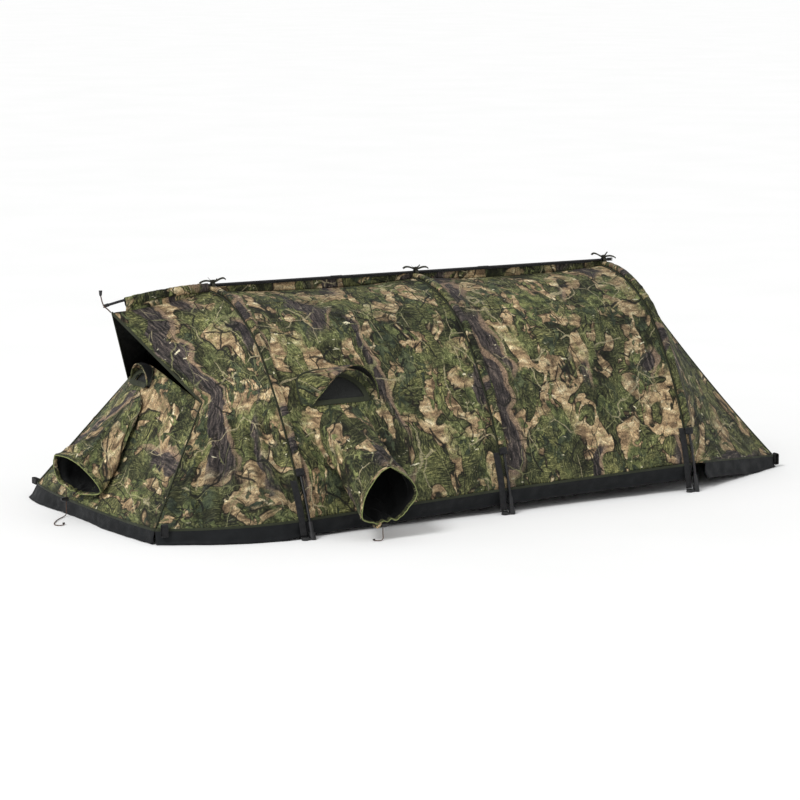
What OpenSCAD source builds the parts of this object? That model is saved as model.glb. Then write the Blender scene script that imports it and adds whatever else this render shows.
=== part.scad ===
// Low lie-down ground blind: three hoop poles and a ridge pole carry a printed
// cloth skin with an overhanging front window, two drooping lens sleeves,
// a zipped crawl-in door on the far side and a black skirt around the hem.
// +X runs to the tail, -Y is the near side with the side sleeve, +Z is up.
// The origin lies on the ground under the crown of the middle hoop.

/* [Hoops] */
// Distance from the middle hoop forward to the front hoop
front_bay_len = 750; // [650:10:850]
// Distance from the middle hoop back to the rear hoop
rear_bay_len = 740; // [650:10:850]
// Height of the hoop poles' centre line at the crown
hoop_h = 703; // [670:1:730]
// Half width of the front hoop at the ground
front_hoop_w = 693; // [670:1:710]
// Half width of the middle hoop at the ground
middle_hoop_w = 632; // [610:1:650]
// Half width of the rear hoop at the ground
rear_hoop_w = 586; // [570:1:610]
// Diameter of the fibreglass poles
pole_d = 8.5; // [7:0.5:9.5]

/* [Skin] */
// Thickness of the cloth panels
cloth = 2; // [1.5:0.1:2.5]
// How far the cloth dips between two hoops at the ridge
ridge_sag = 16; // [8:1:20]
// Forward reach of the window's peak beyond the front hoop
peak_reach = 355; // [320:5:380]
// Height of the window's peak
peak_z = 646; // [620:1:660]
// Forward reach of the front hem beyond the front hoop
front_reach = 485; // [460:5:500]
// Rearward reach of the tail hem beyond the rear hoop
tail_reach = 500; // [460:5:520]
// Half width of the front hem, before its corners are pegged towards the near side
front_hem_w = 457; // [440:1:480]
// Half width of the tail hem at its corners
tail_hem_w = 327; // [300:1:350]
// Height of the black skirt where it stands on the ground
skirt_h = 45; // [38:1:50]

/* [Lens sleeves] */
// Half width of a lens sleeve
sleeve_r = 86; // [80:1:92]
// Diameter of the drawcords
cord_d = 3; // [2.5:0.5:4]

/* [Door] */
// Distance from the middle hoop to the front edge of the door
door_x0 = 130; // [110:5:150]
// Width of the crawl-in door
door_w = 480; // [460:5:500]
// Height of the top of the door, where it hangs
door_top = 520; // [500:5:540]

/* [Hidden] */

$fn = 48;
camo = "darkolivegreen";
black = "#222222";
FRONT = 0;
MIDDLE = 1;
REAR = 2;
hoop_x = [-front_bay_len, 0, rear_bay_len];
hoop_w = [front_hoop_w, middle_hoop_w, rear_hoop_w];
leg_angle = [70, 79, 81];      // slope of each pole where it meets the ground
crown_angle = 50;              // where the tight crown arc meets the flat leg arcs
hem_z = [58, 78, 90];          // height of the cloth's lower edge at each hoop
gap = 0.4;                     // seam gap between neighbouring panels
lean_gap = cloth + 0.2;        // the same where a panel leans over its neighbour by up to its thickness
front_hem_shift = -72;         // how far both corners of the front hem are pegged towards the near side

pole_r = pole_d / 2;
ferrule_r = pole_r + 1.1;
tube_in = [10, ferrule_r + 0.5];            // half axes of the pole sleeve's inside
tube_out = [tube_in[0] + 1.6, tube_in[1] + 1.5];
skin_in = tube_out[1] + 0.4;                // from a pole's centre line to the skin
ridge_z = hoop_h + tube_out[1] + 0.4 + pole_r;
ridge_bend_r = 1611;                        // the ridge pole bows down ahead of the front hoop
ridge_bend_a = 13.8;

front_x = hoop_x[FRONT] - front_reach;
tail_x = hoop_x[REAR] + tail_reach;
peak_x = hoop_x[FRONT] - peak_reach;

// ---------------------------------------------------------------- functions
function mix(a, b, t) = a + (b - a) * t;
function unit(v) = v / norm(v);
function hump(t) = 4 * t * (1 - t);
function smooth(t) = t * t * (3 - 2 * t);
function flat(lists) = [for (l = lists) each l];
function steps(n) = [for (i = [0 : n]) i / n];

// Crown and leg radii of a hoop that is three arcs, from its width, height and leg angle
function hoop_radii(i) =
    let (s1 = sin(crown_angle), c1 = cos(crown_angle), s2 = sin(leg_angle[i]), c2 = cos(leg_angle[i]),
         det = s1 * (c1 - c2) - (s2 - s1) * (1 - c1))
    [(hoop_w[i] * (c1 - c2) - (s2 - s1) * hoop_h) / det, (s1 * hoop_h - (1 - c1) * hoop_w[i]) / det];

// Centre [y, z] of a leg arc, on the side that s gives
function leg_centre(i, s) =
    let (r = hoop_radii(i))
    [s * (r[0] - r[1]) * sin(crown_angle), hoop_h - r[0] + (r[0] - r[1]) * cos(crown_angle)];

// Point [y, z] at an angle from the crown, a distance d inside the pole's centre line
function hoop_point(i, a, d) =
    let (r = hoop_radii(i), c = leg_centre(i, sign(a)))
    abs(a) <= crown_angle ? [(r[0] - d) * sin(a), hoop_h - r[0] + (r[0] - d) * cos(a)]
                          : [c[0] + (r[1] - d) * sin(a), c[1] + (r[1] - d) * cos(a)];

// Angle at which the line a distance d inside a hoop reaches height z
function hoop_angle(i, z, d) = let (r = hoop_radii(i)) acos((z - leg_centre(i, 1)[1]) / (r[1] - d));

// Angle for a place t across a rib, from -1 at the near hem to 1 at the far hem
function rib_angle(i, t) =
    let (low = hoop_angle(i, hem_z[i], skin_in))
    abs(t) <= 0.5 ? t * 2 * crown_angle : sign(t) * mix(crown_angle, low, abs(t) * 2 - 1);
function rib(i, t) = let (p = hoop_point(i, rib_angle(i, t), skin_in)) [hoop_x[i], p[0], p[1]];

// Skin of the bay behind hoop i: s runs along it, t across it
function bay_point(i, s, t) =
    let (a = mix(rib_angle(i, t), rib_angle(i + 1, t), s), dip = mix(ridge_sag, 5, pow(abs(t), 1.5)) * hump(s))
    mix(rib(i, t), rib(i + 1, t), s) - dip * [0, sin(a), cos(a)];

// Front edge of the canopy, from the peak down past the window's corner to the hem's corner
window_corner = [-925, 278, 381];
window_share = 0.5;
function canopy_edge(t) =
    let (m = abs(t), peak = [peak_x, 0, peak_z],
         low = [front_x + 28, front_hem_w, skirt_h],
         p = m <= window_share ? mix(peak, window_corner, m / window_share)
                               : mix(window_corner, low, (m - window_share) / (1 - window_share)))
    [p[0], sign(t) * p[1] + front_hem_shift * max(0, m - window_share) / (1 - window_share), p[2]];
function canopy_point(s, t) =
    let (m = abs(t), a = rib_angle(FRONT, t), belly = mix(-6, 48, smooth(max(0, m - 0.55) / 0.45)) * hump(s))
    mix(canopy_edge(t), rib(FRONT, t), s) + belly * [0, sin(a), cos(a) * (1 - m)];

// Front hem and the sloping front panel above it: u runs across, v down
function front_hem(u) = [front_x + 28 * pow(abs(u), 3), front_hem_w * u + front_hem_shift * u * u, skirt_h];
function panel_top(u) = [mix(-975, window_corner[0], u * u), window_corner[1] * u, mix(470, window_corner[2], pow(abs(u), 1.4))];
function panel_point(u, v) = mix(panel_top(u), front_hem(u), v) + [8 * hump(v) * (1 - u * u), 0, 0];

// Tail: straight tight cloth from the rear hoop to a hem with two corners
tail_corner = 0.36;
function tail_hem(t) =
    let (m = abs(t), side = (m - tail_corner) / (1 - tail_corner), r = rib(REAR, sign(t)),
         corner = [tail_x - 8, tail_hem_w, skirt_h - 5],
         p = m <= tail_corner ? [tail_x - 8 * pow(m / tail_corner, 2), tail_hem_w * m / tail_corner, skirt_h - 5]
                              : mix(corner, [r[0] + 40, abs(r[1]) - 8, hem_z[REAR]], side))
    [p[0], sign(t) * p[1], p[2]];
function tail_point(s, t) =
    let (a = rib_angle(REAR, t)) mix(rib(REAR, t), tail_hem(t), s) - 14 * hump(s) * [0, sin(a), cos(a)];

// Front panel's straight middle line, as a place and two directions in the XZ plane
panel_down = unit(front_hem(0) - panel_top(0));
panel_out = [panel_down[2], 0, -panel_down[0]];
wall_s = (front_bay_len - 545) / front_bay_len;     // the side sleeve's place along the front bay
function wall_t(z) = -lookup(z, [for (t = steps(60)) [bay_point(FRONT, wall_s, -1 + t)[2], 1 - t]]);
function wall_at(z) = bay_point(FRONT, wall_s, wall_t(z));

// Centre line of the lens sleeves: [centre, half height vector, half width vector] of each ring
root_lift = 10;
front_root_c = panel_top(0) + 195 * panel_down + root_lift * panel_out;
front_mouth_c = [-1248, -50, 143];
front_rings = [for (k = steps(4))
    [mix(front_root_c, front_mouth_c, k) + [0, 0, 6 * hump(k)],
     mix(-94 * panel_down, [-10, -28, 50], k), mix([0, sleeve_r + 4, 0], [-35, 89, 42], k)]];
side_down = unit(wall_at(200) - wall_at(372));
side_out = [0, side_down[2], -side_down[1]];
side_root_c = wall_at(288) + root_lift * side_out;
side_mouth_c = [-545, -802, 145];
side_rings = [for (k = steps(4))
    [mix(side_root_c, side_mouth_c, k) + [0, 0, 5 * hump(k)],
     mix(-92 * side_down, 84 * unit([0.08, -0.07, 1]), k), [mix(-sleeve_r - 4, -sleeve_r - 2, k), 0, 0]]];

// ---------------------------------------------------------------- builders
function normal_at(g, i, j) =
    let (nu = len(g) - 1, nv = len(g[0]) - 1)
    unit(cross(g[min(i + 1, nu)][j] - g[max(i - 1, 0)][j], g[i][min(j + 1, nv)] - g[i][max(j - 1, 0)]));

// A solid sheet under a grid of points, of even thickness; rows run along +X and columns to +Y
module sheet(g, thick = cloth) {
    nu = len(g);
    nv = len(g[0]);
    back = [for (i = [0 : nu - 1]) [for (j = [0 : nv - 1]) g[i][j] - thick * normal_at(g, i, j)]];
    o = function(i, j) i * nv + j;
    b = function(i, j) nu * nv + i * nv + j;
    faces = [
        for (i = [0 : nu - 2]) for (j = [0 : nv - 2]) each [
            [o(i, j), o(i, j + 1), o(i + 1, j + 1)], [o(i, j), o(i + 1, j + 1), o(i + 1, j)],
            [b(i, j), b(i + 1, j), b(i + 1, j + 1)], [b(i, j), b(i + 1, j + 1), b(i, j + 1)]],
        for (i = [0 : nu - 2]) each [
            [o(i, 0), o(i + 1, 0), b(i + 1, 0)], [o(i, 0), b(i + 1, 0), b(i, 0)],
            [o(i + 1, nv - 1), o(i, nv - 1), b(i, nv - 1)], [o(i + 1, nv - 1), b(i, nv - 1), b(i + 1, nv - 1)]],
        for (j = [0 : nv - 2]) each [
            [o(0, j + 1), o(0, j), b(0, j)], [o(0, j + 1), b(0, j), b(0, j + 1)],
            [o(nu - 1, j), o(nu - 1, j + 1), b(nu - 1, j + 1)], [o(nu - 1, j), b(nu - 1, j + 1), b(nu - 1, j)]]
    ];
    polyhedron(concat(flat(g), flat(back)), faces);
}

// A hollow tube through rings of [centre, half height, half width], with an even wall
module ring_tube(rings, thick = cloth, sides = 24) {
    n = len(rings);
    ring = function(r, d) [for (k = [0 : sides - 1])
        r[0] + (r[1] - d * unit(r[1])) * cos(360 * k / sides) + (r[2] - d * unit(r[2])) * sin(360 * k / sides)];
    pts = concat(flat([for (r = rings) ring(r, 0)]), flat([for (r = rings) ring(r, thick)]));
    o = function(i, k) i * sides + k % sides;
    w = function(i, k) (n + i) * sides + k % sides;
    faces = [
        for (i = [0 : n - 2]) for (k = [0 : sides - 1]) each [
            [o(i, k), o(i + 1, k + 1), o(i, k + 1)], [o(i, k), o(i + 1, k), o(i + 1, k + 1)],
            [w(i, k), w(i, k + 1), w(i + 1, k + 1)], [w(i, k), w(i + 1, k + 1), w(i + 1, k)]],
        for (k = [0 : sides - 1]) each [
            [o(0, k), o(0, k + 1), w(0, k + 1)], [o(0, k), w(0, k + 1), w(0, k)],
            [o(n - 1, k + 1), o(n - 1, k), w(n - 1, k)], [o(n - 1, k + 1), w(n - 1, k), w(n - 1, k + 1)]]
    ];
    polyhedron(pts, faces);
}

// A round rope swept along points; side gives a direction that the path never follows
module rope(path, d, side, sides = 8) {
    n = len(path);
    ring = function(i)
        let (along = unit(path[min(i + 1, n - 1)] - path[max(i - 1, 0)]), u = unit(cross(along, side)), v = cross(along, u))
        [for (k = [0 : sides - 1]) path[i] + d / 2 * (u * cos(360 * k / sides) + v * sin(360 * k / sides))];
    o = function(i, k) i * sides + k % sides;
    faces = [
        for (i = [0 : n - 2]) for (k = [0 : sides - 1]) each [
            [o(i, k), o(i + 1, k + 1), o(i, k + 1)], [o(i, k), o(i + 1, k), o(i + 1, k + 1)]],
        [for (k = [0 : sides - 1]) k], [for (k = [sides - 1 : -1 : 0]) (n - 1) * sides + k]
    ];
    polyhedron(flat([for (i = [0 : n - 1]) ring(i)]), faces);
}

// A profile swept along an arc in the plane of a hoop, between two angles from the vertical
module hoop_arc(x, centre, r, a0, a1) {
    translate([x, centre[0], centre[1]])
        rotate([0, -90, 0])
            rotate([0, 0, a0])
                rotate_extrude(angle = a1 - a0, $fn = 96)
                    translate([r, 0])
                        children();
}

// A profile swept along hoop i between two angles that lie on the same arc
module along_hoop(i, a0, a1) {
    middle = (a0 + a1) / 2;
    r = hoop_radii(i);
    if (abs(middle) < crown_angle)
        hoop_arc(hoop_x[i], [0, hoop_h - r[0]], r[0], a0, a1) children();
    else
        hoop_arc(hoop_x[i], leg_centre(i, sign(middle)), r[1], a0, a1) children();
}

// A profile swept along the bowed front stretch of the ridge pole
module along_ridge_bend(a0, a1) {
    translate([hoop_x[FRONT], 0, ridge_z - ridge_bend_r])
        rotate([90, -90, 0])
            rotate([0, 0, a0])
                rotate_extrude(angle = a1 - a0, $fn = 96)
                    translate([ridge_bend_r, 0])
                        children();
}

// A flat-sided oval, half axes a along the hoop's axis and b across it
module oval(half) {
    square([2 * half[1], 2 * (half[0] - half[1])], center = true);
    for (s = [-1, 1]) translate([0, s * (half[0] - half[1])]) circle(half[1]);
}

// ---------------------------------------------------------------- frame
ferrule_len = 40;
ferrule_slack = 0.45;          // the straight ferrules fit loosely round the bent rods
cap_len = 52;
cap_grip = 34;                 // how deep a pole sits in its end cap
cap_r = 6.8;

function arc_deg(i, a, length) = length / hoop_radii(i)[abs(a) < crown_angle ? 0 : 1] * 180 / PI;
function pole_end(i) = leg_angle[i] - arc_deg(i, 60, cap_len - cap_grip + 4);

// Angles at which a hoop's six rods meet, from the near leg to the far one
function rod_joints(i) =
    let (leg = (crown_angle + leg_angle[i]) / 2)
    [-leg, -crown_angle, 0, crown_angle, leg];

// Six rods, which meet end to end inside the ferrules
module hoop_pole(i) {
    slack = 0.02;
    ends = concat([-pole_end(i)], rod_joints(i), [pole_end(i)]);
    color(black)
        for (k = [0 : 5])
            along_hoop(i, ends[k] + slack, ends[k + 1] - slack) circle(pole_r);
}

module hoop_ferrules(i) {
    color("silver")
        for (a = rod_joints(i))
            let (p = hoop_point(i, a, 0))
            translate([hoop_x[i], p[0], p[1]])
                rotate([90 - a, 0, 0])
                    ferrule();
}

module ferrule() {
    difference() {
        cylinder(h = ferrule_len, r = ferrule_r, center = true);
        cylinder(h = ferrule_len + 2, r = pole_r + ferrule_slack, center = true);
    }
}

// Places its children at a hoop's foot, with +Z up along the leg; the straight pieces there
// touch the curved pole foot_arc up from the ground
foot_arc = 38;
module at_foot(i, side, lift = 0) {
    a = leg_angle[i] - arc_deg(i, 60, foot_arc);
    p = hoop_point(i, side * a, 0);
    translate([hoop_x[i], p[0], p[1]])
        rotate([side * (90 - a), 0, 0])
            translate([0, 0, lift - foot_arc])
                children();
}

module end_caps(i) {
    color(black)
        for (side = [-1, 1])
            at_foot(i, side, 3.4)
                difference() {
                    cylinder(h = cap_len, r = cap_r);
                    translate([0, 0, cap_len - cap_grip]) cylinder(h = cap_grip + 1, r = pole_r + 0.35);
                }
}

peg_bore_r = 5.5;
clip_h = 10;
peg_offset = 27;               // from a pole's foot forward to the ring for a ground peg

module foot_clips(i) {
    color(black)
        for (side = [-1, 1])
            difference() {
                union() {
                    translate([hoop_x[i] - peg_offset, side * hoop_w[i], 0]) cylinder(h = clip_h, r = 11);
                    translate([hoop_x[i] - peg_offset, side * hoop_w[i] - 7, 0]) cube([peg_offset, 14, 6]);
                    intersection() {
                        at_foot(i, side, -10) cylinder(h = 34, r = 10.5);
                        translate([hoop_x[i] - 20, side * hoop_w[i] - 30, 0]) cube([40, 60, 22]);
                    }
                }
                translate([hoop_x[i] - peg_offset, side * hoop_w[i], -1]) cylinder(h = clip_h + 2, r = peg_bore_r);
                at_foot(i, side, -20) cylinder(h = 60, r = cap_r + 0.2);
            }
}

// Point of the skin just ahead of hoop i, at x and a share t of the way down to its hem
function ahead_of(i, x, t) =
    i == FRONT ? canopy_point(1 - (hoop_x[i] - x) / (hoop_x[i] - canopy_edge(t)[0]), t)
               : bay_point(i - 1, (x - hoop_x[i - 1]) / (hoop_x[i] - hoop_x[i - 1]), t);

// Webbing from each foot clip up on to the cloth beside the pole
strap_w = 22;
strap_t = 1.6;
strap_share = 0.88;            // share of the rib at which a strap ends
function strap_point(i, side, x, k) =
    let (d = skin_in - 2.2, z = mix(clip_h + 2, hem_z[i] - 12, k * 2), p = hoop_point(i, side * hoop_angle(i, z, d), d))
    k < 0.5 ? [x, p[0], p[1]] : ahead_of(i, x, side * mix(1, strap_share, k * 2 - 1)) + [0, side * 2.6, 0];

module foot_straps() {
    color(black)
        for (i = [FRONT, MIDDLE, REAR])
            for (side = [-1, 1])
                let (x = hoop_x[i] - peg_offset + 2, run = side < 0 ? steps(8) : [for (k = steps(8)) 1 - k])
                sheet([for (e = [-0.5, 0, 0.5]) [for (k = run) strap_point(i, side, x + e * strap_w, k)]], strap_t);
}

// Cloth tubes sewn along the hoop: one over the crown and one down each leg
sleeve_end_z = 190;
module hoop_sleeve(i) {
    low = hoop_angle(i, sleeve_end_z, 0);
    slack = 0.03;
    color(camo)
        for (span = [[-low, -crown_angle - slack], [-crown_angle, crown_angle], [crown_angle + slack, low]])
            along_hoop(i, span[0], span[1])
                difference() {
                    oval(tube_out);
                    oval(tube_in);
                }
}

// ---------------------------------------------------------------- ridge
tip_len = 18;
ridge_back = hoop_x[REAR] + 34;
ridge_joints = [-300, 260];
function bend_deg(length) = length / ridge_bend_r * 180 / PI;

module ridge_rod(x0, x1) {
    translate([x0, 0, ridge_z]) rotate([0, 90, 0]) cylinder(h = x1 - x0, r = pole_r);
}

module ridge_pole() {
    color(black) {
        union() {
            along_ridge_bend(0, ridge_bend_a - bend_deg(tip_len / 2)) circle(pole_r);
            ridge_rod(hoop_x[FRONT], ridge_joints[0] - 0.3);
        }
        ridge_rod(ridge_joints[0] + 0.3, ridge_joints[1] - 0.3);
        ridge_rod(ridge_joints[1] + 0.3, ridge_back - tip_len / 2);
    }
}

module ridge_ferrules() {
    color("silver")
        for (x = ridge_joints)
            translate([x, 0, ridge_z])
                rotate([0, 90, 0])
                    ferrule();
}

// Black plastic caps with a nock, over both ends of the ridge pole
module tip_cap() {
    difference() {
        cylinder(h = tip_len, r = pole_r + 1.3);
        translate([0, 0, -1]) cylinder(h = tip_len / 2 + 1, r = pole_r + 0.1);
        translate([-1.6, -20, tip_len - 5]) cube([3.2, 40, 10]);
    }
}

module ridge_pole_tips() {
    color(black) {
        translate([ridge_back - tip_len / 2 - 9, 0, ridge_z]) rotate([0, 90, 0]) tip_cap();
        translate([hoop_x[FRONT], 0, ridge_z - ridge_bend_r])
            rotate([0, -ridge_bend_a + bend_deg(tip_len / 2 + 9), 0])
                translate([0, 0, ridge_bend_r])
                    rotate([0, -90, 0])
                        tip_cap();
    }
}

// Flat cloth tube on the canopy's ridge, which the pole runs through
module ridge_sleeve() {
    drop = 8;
    color(camo)
        along_ridge_bend(0.6, 11.1)
            translate([-drop, 0])
                difference() {
                    union() {
                        square([16, 14], center = true);
                        translate([8, 0]) circle(7);
                        translate([-8, 0]) circle(7);
                    }
                    union() {
                        square([16, 11.4], center = true);
                        translate([8, 0]) circle(5.7);
                        translate([-8, 0]) circle(5.7);
                    }
                }
}

// Standing seam of the ridge, between the skin and the pole above it
module ridge_welts() {
    clear = tube_out[0] + 0.6;
    color(camo)
        for (i = [FRONT, MIDDLE])
            let (x0 = hoop_x[i] + clear, x1 = hoop_x[i + 1] - clear)
            translate([0, 0.8, 0])
                rotate([90, 0, 0])
                    linear_extrude(1.6)
                        polygon(concat(
                            [for (s = steps(12)) let (x = mix(x0, x1, s), p = bay_point(i, (x - hoop_x[i]) / (hoop_x[i + 1] - hoop_x[i]), 0))
                                [x, p[2] + 0.4]],
                            [[x1, ridge_z - ferrule_r - 0.4], [x0, ridge_z - ferrule_r - 0.4]]));
}

// ---------------------------------------------------------------- skin
rows = 10;
cols = 14;
seam_t = 0.0008;               // share of a rib that a seam gap takes

module bay(i, side) {
    span = hoop_x[i + 1] - hoop_x[i];
    edge = gap / span;
    t0 = side < 0 ? -1 : seam_t;
    t1 = side < 0 ? -seam_t : 1;
    sheet([for (s = steps(rows)) [for (t = steps(cols)) bay_point(i, mix(edge, 1 - edge, s), mix(t0, t1, t))]]);
}

// Cuts through the near wall of the front bay: the sleeve's root and the half-moon window over it
module side_root_cut() {
    translate(side_rings[0][0])
        rotate([atan2(-side_out[1], side_out[2]), 0, 0])
            cylinder(h = 120, r = sleeve_r - 8, center = true);
}

window_z = 384;
module half_moon(w, h) {
    intersection() {
        resize([2 * w, 2 * h]) circle(100);
        translate([-w - 1, 0]) square([2 * w + 2, h + 1]);
    }
}

module side_window_cut(grow = 0) {
    translate([-545, -300, window_z - grow / 2])
        rotate([90, 0, 0])
            linear_extrude(400)
                half_moon(108 + grow, 80 + grow);
}

module near_front_bay() {
    color(camo)
        difference() {
            bay(FRONT, -1);
            side_root_cut();
            side_window_cut();
        }
}

module side_window_mesh() {
    color("#1b1f18")
        intersection() {
            sheet([for (s = steps(8)) [for (t = steps(8))
                bay_point(FRONT, mix(0.08, 0.46, s), wall_t(mix(window_z - 20, window_z + 110, t)))]], 1.2);
            side_window_cut(-1);
        }
}

door_gap = 1.2;
door_s = [door_x0 / rear_bay_len, (door_x0 + door_w) / rear_bay_len];
function door_t(s, z) = lookup(z, [for (t = steps(60)) [bay_point(MIDDLE, s, 1 - t)[2], 1 - t]]);

module door_cut(grow = 0) {
    translate([door_x0 - grow, 250, 20])
        cube([door_w + 2 * grow, 450, door_top - 20 + grow]);
}

module far_rear_bay() {
    color(camo)
        difference() {
            bay(MIDDLE, 1);
            door_cut(door_gap);
        }
}

module door_flap() {
    color(camo)
        sheet([for (s = steps(6)) [for (z = steps(12))
            let (u = mix(door_s[0], door_s[1], s)) bay_point(MIDDLE, u, mix(door_t(u, door_top), 1, z))]]);
}

// Places of a door zip: x, and the circle through its foot, middle and head
function zip_point(x, t) = let (p = bay_point(MIDDLE, x / rear_bay_len, t)) [p[1], p[2]];
function circle_centre(a, b, c) =
    let (d = 2 * (a[0] * (b[1] - c[1]) + b[0] * (c[1] - a[1]) + c[0] * (a[1] - b[1])), aa = a * a, bb = b * b, cc = c * c)
    [(aa * (b[1] - c[1]) + bb * (c[1] - a[1]) + cc * (a[1] - b[1])) / d,
     (aa * (c[0] - b[0]) + bb * (a[0] - c[0]) + cc * (b[0] - a[0])) / d];
zip_x = [door_x0 - 11, door_x0 + door_w + 11];
function zip_circle(k) =
    let (x = zip_x[k], top = door_t(x / rear_bay_len, door_top), low = zip_point(x, 1), head = zip_point(x, top),
         c = circle_centre(low, zip_point(x, (1 + top) / 2), head))
    [c[0], c[1], norm(low - c), atan2(low[0] - c[0], low[1] - c[1]), atan2(head[0] - c[0], head[1] - c[1])];
zip_lift = 1.0;                // from the skin to the zip's tape
tape_t = 1.4;

module door_zips() {
    color(black)
        for (k = [0, 1])
            let (c = zip_circle(k), foot = (c[3] - c[4]) * 0.02)
            hoop_arc(zip_x[k], [c[0], c[1]], c[2] + zip_lift, c[4], c[3] - foot)
                translate([tape_t / 2, 0]) {
                    square([tape_t, 18], center = true);
                    translate([tape_t / 2, 0]) square([1.6, 5], center = true);
                }
}

// Slider over the zip's teeth, with its pull tab hanging below
module zip_slider(k) {
    c = zip_circle(k);
    size = 16 / c[2] * 180 / PI;
    at = c[3] - 1.1;
    inner = zip_lift + tape_t + 1.7;
    color(black)
        union() {
            hoop_arc(zip_x[k], [c[0], c[1]], c[2] + inner, at - size, at)
                translate([1.5, 0]) square([3, 12], center = true);
            hoop_arc(zip_x[k], [c[0], c[1]], c[2] + inner + 2.5, at - size * 0.7, at + size * 1.1)
                translate([1.2, 0]) square([2.4, 7], center = true);
        }
}

crease_t = 0.003;              // the same where the cloth is creased along the seam
function canopy_end(t) = 1 - lean_gap / (hoop_x[FRONT] - canopy_edge(t)[0]);
module canopy(side) {
    t0 = side < 0 ? -1 : crease_t;
    t1 = side < 0 ? -crease_t : 1;
    color(camo)
        sheet([for (s = steps(rows)) [for (k = steps(cols)) let (t = mix(t0, t1, k)) canopy_point(s * canopy_end(t), t)]]);
}

module front_root_cut() {
    translate(front_rings[0][0])
        rotate([0, atan2(panel_out[0], panel_out[2]), 0])
            translate([0, 0, -60])
                cylinder(h = 120, r = sleeve_r - 8);
}

front_window_drop = 70;        // from the panel's top edge down to the sill of its half-moon window
module front_window_cut(grow = 0) {
    translate(panel_top(0) + (front_window_drop + grow / 2) * panel_down)
        rotate([0, atan2(panel_out[0], panel_out[2]), 0])
            rotate([0, 0, -90])
                translate([0, 0, -60])
                    linear_extrude(120)
                        half_moon(58 + grow, 46 + grow);
}

module panel_sheet(thick = cloth) {
    side_gap = 0.0025;
    sheet([for (v = steps(rows)) [for (u = steps(16)) panel_point(mix(-1 + side_gap, 1 - side_gap, u), 1 - v)]], thick);
}

module front_panel() {
    color(camo)
        difference() {
            panel_sheet();
            front_root_cut();
            front_window_cut();
        }
}

module front_window_mesh() {
    color("#1b1f18")
        intersection() {
            panel_sheet(1.2);
            front_window_cut(-1);
        }
}

function tail_start(t) = lean_gap / (tail_hem(t)[0] - hoop_x[REAR]);
module tail_panel(t0, t1, n) {
    color(camo)
        sheet([for (s = steps(rows)) [for (k = steps(n)) let (t = mix(t0, t1, k)) tail_point(mix(tail_start(t), 1, s), t)]]);
}

// ---------------------------------------------------------------- skirt
// A black band that hangs between two rows of points
module band(tops, feet) {
    sheet([for (k = [0 : len(tops) - 1]) [feet[k], mix(feet[k], tops[k], 0.5), tops[k]]], 1.6);
}

drop = [0, 0, lean_gap + 0.3];
module bay_skirt(side) {
    hang = 52;
    tuck = 10;
    for (i = [FRONT, MIDDLE])
        let (edge = 1 / (hoop_x[i + 1] - hoop_x[i]), run = side < 0 ? steps(10) : [for (s = steps(10)) 1 - s],
             tops = [for (s = run) bay_point(i, mix(edge, 1 - edge, s), side) - drop])
        color(black)
            band(tops, [for (p = tops) [p[0], p[1] - side * tuck, max(p[2] - hang, 4)]]);
}

function canopy_hem(side) = [for (s = steps(8)) canopy_point(mix(0.01, 0.998, s), side) - drop];
module near_skirt() {
    bay_skirt(-1);
    tops = canopy_hem(-1);
    color(black) band(tops, [for (p = tops) [p[0], p[1] - 3, max(p[2] - 50, 0)]]);
}

module far_skirt() {
    bay_skirt(1);
    tops = canopy_hem(1);
    flipped = [for (k = [len(tops) - 1 : -1 : 0]) tops[k]];
    color(black) band(flipped, [for (p = flipped) [p[0], p[1] + 3, max(p[2] - 50, 0)]]);
}

module front_skirt() {
    tops = [for (u = steps(16)) front_hem(mix(0.998, -0.998, u)) - drop];
    color(black) band(tops, [for (p = tops) [p[0] - 4, p[1], 0]]);
}

module tail_skirt() {
    tops = [for (t = steps(28)) tail_hem(mix(-0.97, 0.97, t)) - drop];
    color(black) band(tops, [for (p = tops) [p[0] + 3, p[1] * 1.008, max(p[2] - 52, 0)]]);
}

// ---------------------------------------------------------------- lens sleeves
module lens_sleeve(rings) {
    color(camo) ring_tube([for (k = [0 : 4]) rings[k]]);
}

// Folded hem round a sleeve's mouth, which the drawcord runs in
module sleeve_hem(ring) {
    n = unit(cross(ring[1], ring[2]));
    lip = function(d, grow) [ring[0] + d * n, ring[1] + grow * unit(ring[1]), ring[2] + grow * unit(ring[2])];
    color(camo) ring_tube([lip(0.4, 0.5), lip(5, 2.5), lip(12, 2.5), lip(14, 0.5)], 4);
}

// Routes of the free ends of the drawcords, from the mouth down on to the ground
front_cord_route = [[-1262, 20, 108], [-1262, 23, 101], [-1262, 24, 93], [-1262, 24, 85], [-1262, 24, 77],
                    [-1262, 24, 69], [-1262, 24, 61], [-1262, 24, 53], [-1262, 24, 45], [-1262, 24, 37],
                    [-1262, 24, 29], [-1262, 24, 21], [-1262, 24, 14], [-1264, 22, 8], [-1269, 18, 4],
                    [-1277, 11, 2.5], [-1287, 2, 2], [-1297, -8, 2], [-1307, -18, 2], [-1316, -29, 2],
                    [-1325, -41, 2], [-1333, -53, 2], [-1341, -65, 2], [-1348, -78, 2], [-1353, -91, 2],
                    [-1355, -104, 2], [-1350, -114, 2], [-1340, -117, 2], [-1330, -111, 2], [-1325, -101, 2]];
side_cord_route = [[-565, -803, 60], [-565, -803, 52], [-565, -803, 44], [-565, -803, 36], [-565, -803, 29],
                   [-565, -803, 22], [-565, -804, 14], [-566, -807, 8], [-570, -811, 4], [-575, -815, 2.5],
                   [-581, -817, 2], [-587, -816, 2], [-593, -812, 2], [-597, -806, 2]];
lock_r = 7;
lock_back = 6;                 // from the cord to the lock's closed end
lock_mouth = 13;               // from the cord to the lock's open end
button_r = 4.6;
button_out = 5;                // how far the sprung button stands out
button_seat = 3;               // from the cord to the bottom of the button's bore

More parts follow.
